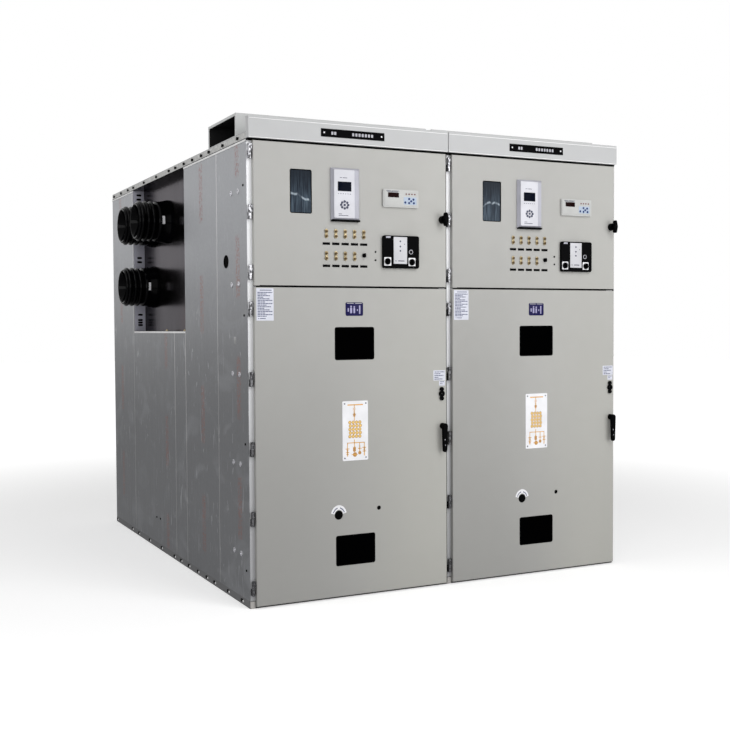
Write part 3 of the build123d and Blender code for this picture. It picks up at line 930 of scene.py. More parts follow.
@dataclass(frozen=True)
class Palette:
    """Every finish of the switchgear, built once and shared by its pieces."""

    # Door coat: low_tone paints shade towards the floor, and across paints light and shade from
    # left to right.
    door: Finish = PowderCoat(
        "door_coat", (0.425, 0.422, 0.405), 0.52, low_tone=0.84, across=(0.30, 0.05)
    )
    fascia: Finish = PowderCoat("fascia_coat", (0.49, 0.495, 0.50), 0.5, drift=0.015)
    # Post coat: its colour is set lighter than its paint to make up for the shade the doors cast on
    # it, a painted light; low_tone paints shade towards the floor.
    post: Finish = PowderCoat("post_coat", (0.95, 0.96, 1.0), 0.35, drift=0.02, low_tone=0.42)
    # Zinc sheets: low_tone paints shade, darker towards the floor.
    side: Finish = ZincSheet(
        "side_zinc", (0.322, 0.330, 0.348), 0.4, low_tone=0.53, film=(1.17, 0.058, -0.67, -1.266)
    )
    inner: Finish = ZincSheet("inner_zinc", (0.32, 0.32, 0.33), 0.42, low_tone=0.85)
    rail: Finish = ZincSheet("rail_zinc", (0.44, 0.44, 0.43), 0.45, low_tone=1.0, crystal=0.2)
    lap: Finish = ZincSheet("lap_zinc", (0.50, 0.50, 0.51), 0.4, low_tone=0.6)
    strip: Finish = PowderCoat("strip_coat", (0.52, 0.52, 0.60), 0.3)
    # Tray: its colour is kept dark as a painted reflection of its dark surroundings.
    tray: Finish = BrightTray("tray_steel", (0.062, 0.057, 0.060), 0.17)
    resin: Finish = CastResin("cast_resin", (0.0012, 0.0012, 0.0016), 0.09, 0.055)
    zinc: Finish = Metal("bright_zinc", (0.60, 0.60, 0.63), 0.24)
    hinge: Finish = HingeZinc("hinge_zinc", (0.55, 0.55, 0.58), 0.22)
    brass: Finish = Metal("brass_plate", (0.36, 0.30, 0.185), 0.42, tarnish=0.8)
    old_brass: Finish = Metal("old_brass", (0.17, 0.115, 0.055), 0.4, tarnish=0.8)
    copper: Finish = Metal("dark_screw", (0.10, 0.075, 0.05), 0.4)
    # Base: its front face is painted dark as the shade under the doors.
    base: Finish = PaintedShadeRegion(
        "base_zinc", (0.12, 0.12, 0.125), 0.45, other=(0.03, 0.03, 0.03), centre=-1.4, width=0.008
    )
    # Near black: on the cross rails it is painted shade in the gaps round the doors; the side bolts
    # take it as their own dark colour.
    dark_rail: Finish = Finish("dark_rail", (0.012, 0.012, 0.012), 0.7, 0.1)
    duct: Finish = DuctPaint("duct_coat", (0.58, 0.59, 0.585), 0.5)
    black: Finish = Finish("black_plastic", (0.002, 0.002, 0.0025), 0.5, 0.02)
    gloss_black: Finish = Finish("black_gloss", (0.0012, 0.0012, 0.0016), 0.32, 0.015)
    # Black rubber for the seals and the grommet, also used for strips and discs of painted shade.
    rubber: Finish = Finish("black_rubber_and_shade", (0.002, 0.002, 0.002), 0.8, 0.02)
    black_pane: Finish = DarkPane("black_pane", (0.0005, 0.0005, 0.0006), 0.12, 0.0)
    metal_pane: Finish = DarkPane("streaky_pane", (0.010, 0.014, 0.021), 0.14, 0.06, streaks=0.7)
    silver: Finish = Finish("relay_silver", (0.42, 0.42, 0.48), 0.35)
    face: Finish = Finish("relay_face", (0.64, 0.64, 0.69), 0.4)
    screen: Finish = DarkPane("blue_screen", (0.0015, 0.003, 0.010), 0.12, 0.02)
    red_screen: Finish = DarkPane("red_screen", (0.010, 0.0015, 0.0015), 0.12, 0.02)
    pale: Finish = Finish("controller_pale", (0.50, 0.505, 0.495), 0.42)
    blue_key: Finish = Finish("blue_key", (0.012, 0.035, 0.14), 0.4, 0.2)
    blue_pad: Finish = Finish("blue_pad", (0.42, 0.50, 0.62), 0.45)
    red_lamp: Finish = Finish("red_lamp", (0.16, 0.05, 0.05), 0.3, 0.2)
    grey_print: Finish = Finish("grey_print", (0.085, 0.09, 0.13), 0.6, 0.15)
    label_print: Finish = Finish("label_print", (0.11, 0.125, 0.21), 0.6, 0.2)
    pale_print: Finish = Finish("pale_print", (0.42, 0.42, 0.46), 0.5)
    badge_print: Finish = Finish("badge_print", (0.36, 0.34, 0.55), 0.4)
    white: Finish = Finish("white_plate", (0.86, 0.86, 0.89), 0.35)
    paper: Finish = Finish("paper_label", (0.70, 0.715, 0.80), 0.6)
    panel: Finish = Finish("indicator_white", (0.60, 0.60, 0.63), 0.4)
    blue_badge: Finish = Finish("blue_badge", (0.010, 0.008, 0.066), 0.3, 0.1)
    orange: Finish = Finish("orange_print", (0.74, 0.37, 0.05), 0.45)
    yellow: Finish = Finish("yellow_print", (0.86, 0.60, 0.16), 0.45)
    brown: Finish = Finish("brown_print", (0.50, 0.25, 0.06), 0.45)
    dust: Finish = Finish("foot_grey", (0.40, 0.385, 0.37), 0.6)
    # Near white: painted highlights on the side wall's folds, beside the base bolts and on the
    # fascia's folds.
    bright_edge: Finish = Finish("painted_highlight", (0.86, 0.86, 0.86), 0.4)

    def build(self) -> dict[str, bpy.types.Material]:
        """Build all materials, by field name."""
        return {name: getattr(self, name).material() for name in self.__dataclass_fields__}


@dataclass
class Workshop:
    """Dresses finished pieces and lets them ride on their bodies.

    Args:
        materials: The palette's materials by name.
        nodes: The frame's nodes by name.
    """

    materials: dict[str, bpy.types.Material]
    nodes: dict[str, Piece]

    def paint(self, piece: Piece, finish: str) -> None:
        """Give a piece or a CAD node its finish."""
        piece.data.materials.clear()
        piece.data.materials.append(self.materials[finish])

    def settle(
        self, piece: Piece, body: str, finish: str, slot: str, stands_for: Sequence[str] = ()
    ) -> None:
        """Smooth, paint and seat a finished piece.

        Args:
            piece: The piece.
            body: The CAD body that it rides on.
            finish: Its finish in the palette.
            slot: Not used.
            stands_for: CAD nodes that it replaces.
        """
        Bench.hold(piece)
        bpy.ops.object.shade_smooth_by_angle(angle=SMOOTH_ANGLE)
        self.paint(piece, finish)
        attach(piece, body)
        if stands_for:
            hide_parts(*stands_for)
        LOG.info("%s rides on %s", piece.name, body)


@dataclass
class Shell:
    """The frame's own sheets, posts, rails and doors, which keep their CAD shape.

    Args:
        shop: The workshop.
        coats: The nodes that take each finish.
    """

    shop: Workshop
    coats: dict[str, str] = field(default_factory=lambda: {
        "side": "left_wall_front left_wall_mid left_wall_rear right_wall",
        "inner": "inner_wall_front inner_wall_mid inner_wall_rear"
                 " floor_plates roof_plates partitions",
        "rail": "side_rails",
        # Cross rails near black: painted shade behind the gaps round the doors.
        "dark_rail": "cross_rails",
        "post": "corner_posts",
        "base": "base_frames",
        "fascia": "fascias",
        "door": "rear_covers upper_door_1 upper_door_2 lower_door_1 lower_door_2",
        "tray": "bus_tray_1 bus_tray_2",
        "duct": "wiring_duct_1 wiring_duct_2",
        "metal_pane": "upper_panes",
        "black_pane": "lower_panes_1 lower_panes_2",
        "white": "mimic_plate_1 mimic_plate_2",
        "gloss_black": "lock_plates_1 lock_plates_2 lever_1 lever_2 lock_knob_1 lock_knob_2"
                       " indicators nameplates",
        "hinge": "hinge_brackets hinge_leaves_1 hinge_leaves_2",
        "silver": "relays",
        "pale": "controllers",
        "brass": "link_plates",
    })

    def dress(self) -> None:
        """Paint every CAD node that stays."""
        for finish, nodes in self.coats.items():
            for name in nodes.split():
                self.shop.paint(self.shop.nodes[name], finish)
                LOG.info("%s is dressed in %s", name, finish)


@dataclass
class Fitting:
    """A sub-assembly of one cubicle; its parts are given in that cubicle's millimetres.

    Args:
        shop: The workshop that dresses its pieces.
        cubicle: The cubicle it belongs to.
    """

    shop: Workshop
    cubicle: Cubicle

    @property
    def body(self) -> str:
        """Body that its pieces ride on."""
        return ENCLOSURE

    def named(self, name: str) -> str:
        """Name one of its pieces."""
        return self.cubicle.named(name)

    def put(
        self, name: str, parts: Piece | list[Piece], finish: str, slot: str,
        stands_for: Sequence[str] = (), body: Optional[str] = None,
    ) -> None:
        """Join the parts of one piece, then dress and seat it.

        Args:
            name: The piece's name, without its cubicle's number.
            parts: Its part or parts.
            finish: Its finish in the palette.
            slot: A slot name, passed on to settle.
            stands_for: CAD nodes that it replaces.
            body: The body it rides on, if not the fitting's own.
        """
        piece = Bench.join(self.named(name), parts if isinstance(parts, list) else [parts])
        self.shop.settle(piece, body or self.body, finish, slot, stands_for)

    def block(self, low: Place, high: Place, *shape: object, **options: object) -> Piece:
        """Model a block between two places, with the shape and options of Bench.block."""
        return Bench.block(self.cubicle.at(*low), self.cubicle.at(*high), *shape, **options)

    def disc(self, foot: Place, *shape: object, **options: object) -> Piece:
        """Model a round that stands on a place, with the shape and options of Bench.disc."""
        return Bench.disc(self.cubicle.at(*foot), *shape, **options)

    @staticmethod
    def spread(part: Piece, places: Iterable[Spot], side: Side = Side.FRONT) -> list[Piece]:
        """Copy a part to several places of a face and remove the first.

        Args:
            part: The part, modelled at the zero of that face.
            places: Distance along the face and height of each copy.
            side: The face.

        Returns:
            The copies.
        """
        along = Vector((1, 0, 0)) if side is Side.FRONT else Vector((0, 1, 0))
        up = Side.TOP.way
        return Bench.repeat(part, [(along * far + up * high) * MM for far, high in places])

    def plate(
        self, box: Box, y: float, thick: float, corner: float = 3.0, rim: float = 0.3
    ) -> Piece:
        """Model a plate that lies on a face.

        Args:
            box: Its left, right, bottom and top.
            y: Depth of the face.
            thick: Its thickness.
            corner: Radius of its corners.
            rim: Rounding of its rim.

        Returns:
            The plate.
        """
        x0, x1, z0, z1 = box
        return self.block((x0, y - thick, z0), (x1, y, z1), corner, rim)

    def rows(self, rows: Iterable[Place], y: float, height: float) -> list[Piece]:
        """Print bars of one height on a face.

        Args:
            rows: Left, right and middle height of each bar.
            y: Depth of the face.
            height: Height of the bars.

        Returns:
            The bars.
        """
        one = self.block((0, y - 0.15, -height / 2), (1, y + 0.05, height / 2), rim=0.04)
        edge = self.cubicle.at(0, 0, 0).x
        home = Matrix.Translation((-edge, 0, 0))
        bars = []
        for x0, x1, z in rows:
            bar = Bench.copy(one, Vector((0, 0, z * MM)))
            there = Matrix.Translation((edge + x0 * MM, 0, 0))
            bar.data.transform(there @ Matrix.Diagonal((x1 - x0, 1, 1, 1)) @ home)
            bars.append(bar)
        bpy.data.objects.remove(one)
        return bars

    def words(self, box: Box, y: float, pitch: float, height: float) -> list[Piece]:
        """Model rows of short bars that read as small print from afar.

        Args:
            box: Left, right, bottom and top of the printed field.
            y: Depth of the face.
            pitch: Distance between two rows.
            height: Height of a bar.

        Returns:
            The bars.
        """
        x0, x1, z0, z1 = box
        bars, seed = [], 3
        for row in range(int((z1 - z0) / pitch) + 1):
            x, z = x0, z1 - row * pitch
            end = x1 - (x1 - x0) * RAGGED[row % len(RAGGED)]
            while x < end - 4:
                seed = (seed * 5 + 7) % 31
                reach = min(end, x + 5 + seed % 13)
                bars.append((x, reach, z))
                x = reach + WORD_GAP
        return self.rows(bars, y, height)

    def rounds(
        self, spots: Iterable[Spot], y: float, radius: float, depth: float, sides: int = 14
    ) -> list[Piece]:
        """Model equal rounds on a face.

        Args:
            spots: Where they stand, along the face and above the floor.
            y: Depth of the face.
            radius: Their radius.
            depth: How far they stand out.
            sides: Number of flats round each.

        Returns:
            The rounds.
        """
        rim = min(radius, depth) * 0.3
        return self.spread(self.disc((0, y, 0), radius, depth, rim, sides=sides), spots)


@dataclass
class BusChamber(Fitting):
    """Ribbed bushings, their tags and the small parts of the recess.

    Args:
        plate_x: How far the tray plate lies behind the side wall.
        length: Length of a bushing in front of the plate.
        collar: Radius of the collar, its straight part and where its taper ends.
        barrel_l: Where the barrel ends.
        rib_r: Radius over the ribs.
        root_r: Radius between the ribs.
        ribs: Number of ribs.
        bore_r: Radius of the bore.
        mouth: Length, radius and taper of the mouth.
        stub: Radius and length of the stub behind the plate.
        places: Depth and height of each bushing.
        tag: Width, height and place of the tag on the barrel.
        tag_gap: How far the tag stands off the barrel.
        tag_thick: Thickness of the tag.
        slot_heights: Heights of the slots in the tray's upright.
        screw_depths: Depths of the screws on the tray's foot.
    """

    plate_x: float = 80.0
    length: float = 225.0
    collar: tuple[float, float, float] = (143.0, 12.0, 60.0)
    barrel_l: float = 100.0
    rib_r: float = 131.0
    root_r: float = 117.0
    ribs: int = 3
    bore_r: float = 78.0
    mouth: tuple[float, float, float] = (16.0, 123.0, 70.0)
    stub: tuple[float, float] = (104.0, 70.0)
    places: tuple[Spot, ...] = ((1645.0, 2171.0), (1985.0, 2171.0), (1985.0, 1755.0))
    tag: tuple[float, float, float] = (25.0, 52.0, 62.0)
    tag_gap: float = 0.9
    tag_thick: float = 0.6
    slot_heights: tuple[float, ...] = (2410, 2380, 1969, 1939, 1567, 1530, 1512, 1494)
    screw_depths: tuple[float, ...] = (1180.0, 1560.0)

    def profile(self) -> list[Spot]:
        """Half section of one bushing: distance in front of the plate, and radius."""
        collar_r, collar_edge, collar_end = self.collar
        mouth_l, mouth_r, mouth_taper = self.mouth
        stub_r, stub_l = self.stub
        points = [
            (-stub_l, self.bore_r), (-stub_l, stub_r), (-1.0, stub_r),
            (-1.0, collar_r - 3), (2.0, collar_r), (collar_edge, collar_r),
            (collar_edge + 8, collar_r - 2), (collar_end, self.rib_r + 1),
            (collar_end + 10, self.rib_r), (self.barrel_l - 12, self.rib_r),
            (self.barrel_l - 6, self.rib_r - 3), (self.barrel_l, self.root_r),
        ]
        lip = self.length - mouth_l
        pitch = (lip - self.barrel_l) / self.ribs
        for rib in range(self.ribs):
            start = self.barrel_l + rib * pitch
            points.append((start + pitch * 0.25, self.root_r))
            for share in shares(RIB_STEPS):
                swell = (self.rib_r - self.root_r) * math.sin(math.pi * share) ** 0.8
                along = start + pitch * (0.66 - 0.32 * math.cos(math.pi * share))
                points.append((along, self.root_r + swell))
        for share in shares(LIP_STEPS)[1:-1]:
            swell = (mouth_r - self.root_r) * math.sin(math.pi * share)
            along = lip + mouth_l * (0.5 - 0.5 * math.cos(math.pi * share))
            points.append((along, self.root_r - 8 * share + swell))
        points += [(self.length - 2, self.root_r - 12), (self.length - mouth_taper, self.bore_r)]
        return points + [(-stub_l, self.bore_r)]

    def bushing(self) -> Piece:
        """Turn one bushing at the zero of the wall."""
        centre = self.cubicle.at(self.plate_x, 0, 0)
        points = [centre + Vector((-along, 0, radius)) * MM for along, radius in self.profile()]
        return Bench.turned(points, centre, Vector((1, 0, 0)))

    def tag_on(self, depth: float, height: float) -> Piece:
        """Bend one white tag round the front of a barrel.

        Args:
            depth: Depth of the bushing.
            height: Its height.

        Returns:
            The tag.
        """
        wide, high, place = self.tag
        half = high / 2 / self.rib_r
        spoke = Vector((0, -math.cos(half), -math.sin(half))) * (self.rib_r + self.tag_gap) * MM
        start = self.cubicle.at(self.plate_x - place - wide / 2, depth, height) + spoke
        points = [start, start + Vector((wide * MM, 0, 0))]
        centre = self.cubicle.at(self.plate_x, depth, height)
        strip = Bench.turned(points, centre, Vector((1, 0, 0)), 2 * half, 8)
        return Bench.thicken(strip, self.tag_thick)

    def build(self) -> None:
        """Model the bushings, tags, slots and screws of this cubicle."""
        bushings = self.spread(self.bushing(), self.places, Side.LEFT)
        self.put("bushings", bushings, "resin", "epoxy", [self.named("bus_bushings")])
        tags = [self.tag_on(*place) for place in self.places]
        self.put("bushing_tags", tags, "white", "white_plate")
        blind = self.disc(
            (self.plate_x + self.stub[1] + 4, 0, 0), self.bore_r + 8, 4, 1, Side.LEFT, 48
        )
        blinds = self.spread(blind, self.places, Side.LEFT)
        self.put("bore_blinds", blinds, "rubber", "black_plastic")
        # Painted shade: black blocks where the upright's slots show only shade.
        slot = self.block((24, 2207.8, -7), (58, 2209.2, 7), 6, 0.5)
        slots = self.spread(slot, [(0, height) for height in self.slot_heights])
        self.put("tray_slots", slots, "rubber", "black_plastic")
        upright = self.block((2, 2208.8, 1453), (78.5, 2210.6, 2440), 1, 0.6)
        self.put("tray_upright", upright, "strip", "steel")
        head = self.disc((40, 0, 1452), 9, 7, 2, Side.TOP, 6)
        cap = self.disc((40, 0, 1459), 5, 4, 1.5, Side.TOP, 16)
        depths = [(depth, 0) for depth in self.screw_depths]
        screws = self.spread(head, depths, Side.LEFT) + self.spread(cap, depths, Side.LEFT)
        self.put("tray_screws", screws, "brass", "brass")


@dataclass
class SideWall(Fitting):
    """Laps, rivets, bolts and the fold along the top of the open side wall.

    Args:
        rail_z: Height of the bolts in the top rail.
        base_z: Height of the bolts in the base.
        laps: Depth, foot and head of the upright laps.
        edges: Start, end and height of the bare folds.
        rivet_depths: Depths of the two rivets of each pair.
        rivet_heights: Heights of the pairs.
        small_screws: Depth and height of the small dark screws.
        rail_bolts: Depths of the bolts in the top rail.
        base_bolts: Depths of the bolts in the base.
        hole: Depth and height of the cable hole.
    """

    rail_z: float = 2461.0
    base_z: float = 22.0
    laps: tuple[Place, ...] = (
        (458, 42, 2436), (1046, 42, 1447), (1267, 42, 1445), (2236, 42, 2436),
    )
    edges: tuple[Place, ...] = ((2, 1043, 2437), (2214, 2798, 2437), (1043, 2214, 1446))
    rivet_depths: tuple[float, float] = (120.0, 224.0)
    rivet_heights: tuple[float, ...] = (2187.0, 1700.0, 1223.0, 747.0, 270.0)
    small_screws: tuple[Spot, ...] = (
        (45, 2210), (45, 1534), (45, 860), (45, 193), (1712, 207), (1629, 209),
    )
    rail_bolts: tuple[float, ...] = (
        116, 345, 573, 707, 871, 1033, 1204, 1341, 1624, 1919, 2195, 2344, 2538, 2742,
    )
    base_bolts: tuple[float, ...] = (
        111, 327, 552, 688, 848, 1020, 1178, 1315, 1602, 1884, 2159, 2337, 2766,
    )
    hole: Spot = (312.0, 1829.0)

    def named(self, name: str) -> str:
        """Keep a piece's name as it is, because the row has one open side."""
        return name

    def strip(self, y0: float, y1: float, z0: float, z1: float, out: float, rim: float) -> Piece:
        """Model a flat strip that stands out of the wall by a little."""
        return self.block((-out, y0, z0), (0.2, y1, z1), rim=rim, side=Side.LEFT)

    def bolts(self) -> None:
        """Model a dark slot with its bolt, and a painted highlight beside each base bolt, once and
        copy them along rail and base.
        """
        base = [(depth, self.base_z) for depth in self.base_bolts]
        places = [(depth, self.rail_z) for depth in self.rail_bolts] + base
        # Painted shade: each slot is a black block where the hole shows only shade.
        slot = self.block((-1.2, -13, -5.5), (0.4, 13, 5.5), 5.4, 0.4, Side.LEFT)
        self.put("side_slots", self.spread(slot, places, Side.LEFT), "rubber", "black_metal")
        # Painted highlight: a small bright disc beside each base bolt.
        bolt_glint = self.disc((0, -13, -3), 6.5, 3, 1, Side.LEFT, 14)
        self.put("base_bolt_highlights", self.spread(bolt_glint, base, Side.LEFT), "bright_edge", "zinc")
        head = self.disc((-1, 4, 0), 9.5, 6, 1.2, Side.LEFT, 6)
        self.put("side_bolts", self.spread(head, places, Side.LEFT), "dark_rail", "black_metal")

    def rivets(self) -> None:
        """Model a domed rivet and a small screw once and copy them."""
        rivet = self.disc((0, 0, 0), 14.5, 3, 1.4, Side.LEFT, 24)
        Bench.recess(rivet, Side.LEFT, 3.5, 2.2)
        places = [(depth, height) for height in self.rivet_heights for depth in self.rivet_depths]
        self.put("side_rivets", self.spread(rivet, places, Side.LEFT), "zinc", "zinc")
        small = self.disc((0, 0, 0), 6.5, 3, 1, Side.LEFT, 12)
        screws = self.spread(small, self.small_screws, Side.LEFT)
        self.put("side_screws", screws, "rubber", "black_metal")

    def folds(self) -> None:
        """Model the laps of the sheets, the folded edge under the rail coloured bright as a painted
        highlight, and a painted shadow strip along the rail.
        """
        laps = [self.strip(y - 5.5, y + 5.5, low, high, 0.9, 0.4) for y, low, high in self.laps]
        self.put("side_laps", laps, "lap", "steel")
        # Painted highlight: the fold under the rail stands out a little and is coloured near white.
        edges = [self.strip(y0, y1, z - 7, z + 4, 3.0, 1.2) for y0, y1, z in self.edges]
        self.put("side_edges", edges, "bright_edge", "steel")
        # Painted shadow: a dark strip along the underside of the rail.
        gap = self.strip(2, 2798, 2441.6, 2445.2, 1.0, 0.5)
        self.put("rail_shadow_strip", gap, "rubber", "black_metal")
        patch = self.block((-0.6, 166, 1382), (0.2, 202, 1422), 3, 0.2, Side.LEFT)
        self.put("side_patch", patch, "lap", "white_plate")

    def cable_hole(self) -> None:
        """Model the rubber grommet in the cable hole and a black disc behind it as painted shade.
        """
        ring = Bench.ring(self.cubicle.at(-0.5, *self.hole), 33.5, 2.4, Side.LEFT)
        # Painted shade: a black disc closes the hole, where only shade is seen.
        cover = self.disc((2.8, *self.hole), 34.5, 1.2, 0.4, Side.LEFT)
        self.put("cable_grommet", [ring, cover], "rubber", "black_plastic")

    def build(self) -> None:
        """Model everything on the side wall."""
        self.bolts()
        self.rivets()
        self.folds()
        self.cable_hole()


@dataclass
class RelayFace(Fitting):
    """Front of the protection relay: pale face, screen, lamps and keys.

    Args:
        box: Left, right, bottom and top of the housing.
        out: How far the housing stands out of the door.
    """

    box: Box = (469.0, 639.0, 2039.0, 2318.0)
    out: float = 24.0

    def build(self) -> None:
        """Model the face and all that is set into it."""
        x0, x1, z0, z1 = self.box
        front = DOOR_Y - self.out
        y = front - 2.0
        face = self.plate((x0 + 10, x0 + 132, z0 + 11.5, z1 - 11.5), front + 0.4, 3, 5, 1)
        Bench.recess(face, Side.FRONT, 3, 0.6)
        self.put("relay_face", face, "face", "relay_grey")
        screen = self.plate((x0 + 32, x0 + 112, z1 - 125, z1 - 75), y, 1.4, 2, 0.4)
        self.put("relay_screen", screen, "screen", "black_plastic")
        rows = [(x0 + 44, x0 + 56, z1 - 54), (x0 + 62, x0 + 88, z1 - 54)]
        rows += [(x0 + 33 + 14 * i, x0 + 39 + 14 * i, z1 - 139) for i in range(6)]
        rows += [(x0 + 36, x0 + 56, z0 + 33), (x0 + 36, x0 + 94, z0 + 25)]
        self.put("relay_rows", self.rows(rows, y, 3), "grey_print", "relay_grey")
        dial_x, dial_z = x0 + 72, z1 - 198
        keys = [(dial_x, dial_z)]
        for turn in (math.tau * share for share in shares(8)[:-1]):
            keys.append((dial_x + 21 * math.cos(turn), dial_z + 18 * math.sin(turn)))
        self.put("relay_keys", self.rounds(keys, y, 6.6, 2.4), "grey_print", "relay_grey")
        # Painted shade: a black strip under the housing stands for the shadow beneath it.
        foot = self.plate((x0 + 1, x1 - 1, z0 - 6, z0 + 4), DOOR_Y, 19, 2, 1)
        self.put("relay_shadow_strip", foot, "black", "black_plastic")


@dataclass
class ControllerFace(Fitting):
    """Front of the climate controller: display, lamps and keys.

    Args:
        box: Left, right, bottom and top of the housing.
        out: How far the housing stands out of the door.
        keys: Places of the keys from the housing's lower left corner.
    """

    box: Box = (783.0, 1004.0, 2123.0, 2220.0)
    out: float = 12.0
    keys: tuple[Spot, ...] = ((160, 48), (187, 46), (173, 36), (160, 26), (190, 26), (136, 28))

    def build(self) -> None:
        """Model the raised front, display, lamps and keys."""
        x0, x1, z0, z1 = self.box
        front = DOOR_Y - self.out
        y = front - 1.6
        face = self.plate((x0 + 6, x1 - 6, z0 + 6, z1 - 5), front + 0.4, 2, 3, 0.8)
        self.put("controller_face", face, "pale", "controller_grey")
        display = self.plate((x0 + 28, x0 + 96, z0 + 53, z0 + 79), y, 1.2, 2, 0.4)
        self.put("controller_display", display, "red_screen", "black_plastic")
        pad = self.plate((x0 + 126, x1 - 14, z0 + 16, z0 + 58), y + 0.3, 0.7, 3, 0.2)
        self.put("controller_pad", pad, "blue_pad", "controller_grey")
        spans = ((18, 46, 88), (50, 98, 88), (22, 90, 83))
        rows = [(x0 + left, x0 + right, z0 + rise) for left, right, rise in spans]
        self.put("controller_rows", self.rows(rows, y, 3), "grey_print", "controller_grey")
        lamps = self.rounds([(x0 + 142 + 18 * i, z0 + 74) for i in range(4)], y, 4.2, 2)
        self.put("controller_lamps", lamps, "red_lamp", "black_plastic")
        keys = self.rounds([(x0 + x, z0 + z) for x, z in self.keys], y, 6.2, 2.2, 16)
        self.put("controller_keys", keys, "blue_key", "black_plastic")


@dataclass
class IndicatorFace(Fitting):
    """Front of the state indicator: pale panel between two rotary switches.

    Args:
        box: Left, right, bottom and top of the housing.
        out: How far the housing stands out of the door.
    """

    box: Box = (779.0, 1004.0, 1790.0, 1968.0)
    out: float = 16.0

    def switch(self, x: float, z: float) -> list[Piece]:
        """Model a rotary switch: a skirt and a winged grip."""
        y = DOOR_Y - self.out - 2.5
        grip = self.block((x - 4.5, y - 19, z - 15), (x + 4.5, y - 4, z + 15), 3, 2.5)
        return [self.disc((x, y, z), 17.8, 5, 1.5), grip]

    def build(self) -> None:
        """Model the panel, its marks, the button and the two switches."""
        x0, _, _, z1 = self.box
        front = DOOR_Y - self.out
        y = front - 1.9
        panel = self.plate((x0 + 64, x0 + 148, z1 - 154, z1 - 7), front + 0.3, 2.2, 2, 0.6)
        self.put("indicator_panel", panel, "panel", "white_plate")
        dots = self.rounds([(x0 + 105, z1 - drop) for drop in (31, 59, 83)], y, 5, 0.8)
        self.put("indicator_dots", dots, "grey_print", "black_plastic")
        spans = ((130, 134, 46), (74, 80, 138), (92, 130, 138))
        rows = [(x0 + left, x0 + right, z1 - drop) for left, right, drop in spans]
        self.put("indicator_rows", self.rows(rows, y, 5), "grey_print", "black_plastic")
        blank = self.plate((x0 + 17, x0 + 45, z1 - 14, z1 - 5), front, 0.8, 1, 0.2)
        self.put("maker_blank", blank, "silver", "black_plastic")
        plates = [
            self.plate((x0 + left, x0 + left + 43, z1 - 165, z1 - top), front, 1.8, 3, 0.5)
            for left, top in ((5, 119), (157, 120))
        ]
        self.put("switch_plates", plates, "white", "white_plate")
        grips = self.switch(x0 + 25, z1 - 142) + self.switch(x0 + 178, z1 - 144)
        self.put("switch_grips", grips, "gloss_black", "black_plastic")
        place = self.cubicle.at(x0 + 173, front - 1.0, z1 - 88)
        button = Bench.ring(place, 11, 2.2, Side.FRONT)
        self.put("indicator_button", button, "pale_print", "black_plastic")


@dataclass
class LinkField(Fitting):
    """Test links with their nuts and label strips, and the selector beside them.

    Args:
        columns: Places of the columns along the door.
        rows_at: Number of links and height of each row.
        drop: How far a label strip hangs below its row.
    """

    columns: tuple[float, ...] = (443.0, 499.0, 555.0, 611.0, 667.0)
    rows_at: tuple[tuple[int, float], ...] = ((5, 1968.0), (4, 1850.0))
    drop: float = 53.0

    def build(self) -> None:
        """Model the links, strips, selector and pilot holes."""
        tops = [(x, z) for count, z in self.rows_at for x in self.columns[:count]]
        screws = [(x, z + side) for x, z in tops for side in (13, -13)]
        straps = [self.plate((x - 8, x + 8, z - 25, z + 25), DOOR_Y, 3, 6, 0.8) for x, z in tops]
        washers = self.rounds(screws, DOOR_Y - 2.9, 10.5, 2, 20)
        self.put("links", straps + washers, "brass", "brass", ["link_plates"])
        nuts = self.rounds(screws, DOOR_Y - 4.8, 8, 5, 6)
        self.put("link_nuts", nuts, "old_brass", "brass")
        studs = self.rounds(screws, DOOR_Y - 9.6, 4.4, 3.4, 12)
        self.put("link_studs", studs, "copper", "brass")
        strips = []
        for _, z in self.rows_at:
            foot = z - self.drop
            for x in self.columns:
                box = (x - 21.5, x + 21.5, foot - 7, foot + 6)
                strips.append(self.plate(box, DOOR_Y, 1.6, 1, 0.4))
        self.put("link_strips", strips, "black", "black_plastic")
        skirt = self.disc((669, DOOR_Y, 1856), 11.5, 6, 1.5)
        grip = self.block((664, DOOR_Y - 18, 1845), (674, DOOR_Y - 5, 1867), 3, 2)
        self.put("selector", [skirt, grip], "gloss_black", "black_plastic")
        holes = self.rounds([(739, 1877), (739, 1832)], DOOR_Y, 5.4, 2)
        self.put("pilot_lamps", holes, "black", "black_plastic")


@dataclass
class Seal(Fitting):
    """A rubber seal just inside a window's edge.

    Args:
        name: The piece's name.
        box: Left, right, bottom and top of the window.
        corner: Radius of its corners.
        rides_on: The body of the door.
        wide: Width of the seal.
    """

    name: str
    box: Box
    corner: float
    rides_on: str
    wide: float = 4.0

    def build(self) -> None:
        """Model the seal from a rounded plate whose middle is opened."""
        x0, x1, z0, z1 = self.box
        seal = self.plate(
            (x0 + 0.4, x1 - 0.4, z0 + 0.4, z1 - 0.4), DOOR_Y + 2.5, 1.6, self.corner, 0.5
        )
        for way in (Side.FRONT.way, -Side.FRONT.way):
            Bench.pick_end(seal, way)
            bpy.ops.mesh.inset(thickness=self.wide * MM, depth=0.0)
            Bench.clear()
        inner = self.cubicle.at((x0 + x1) / 2, 0, (z0 + z1) / 2)
        Bench.pick_faces(
            seal,
            lambda normal, middle: abs(normal.y) > FACING
            and max(abs(middle.x - inner.x), abs(middle.z - inner.z)) < MM,
        )
        bpy.ops.mesh.bridge_edge_loops()
        Bench.clear()
        self.put(self.name, seal, "rubber", "black_plastic", body=self.rides_on)


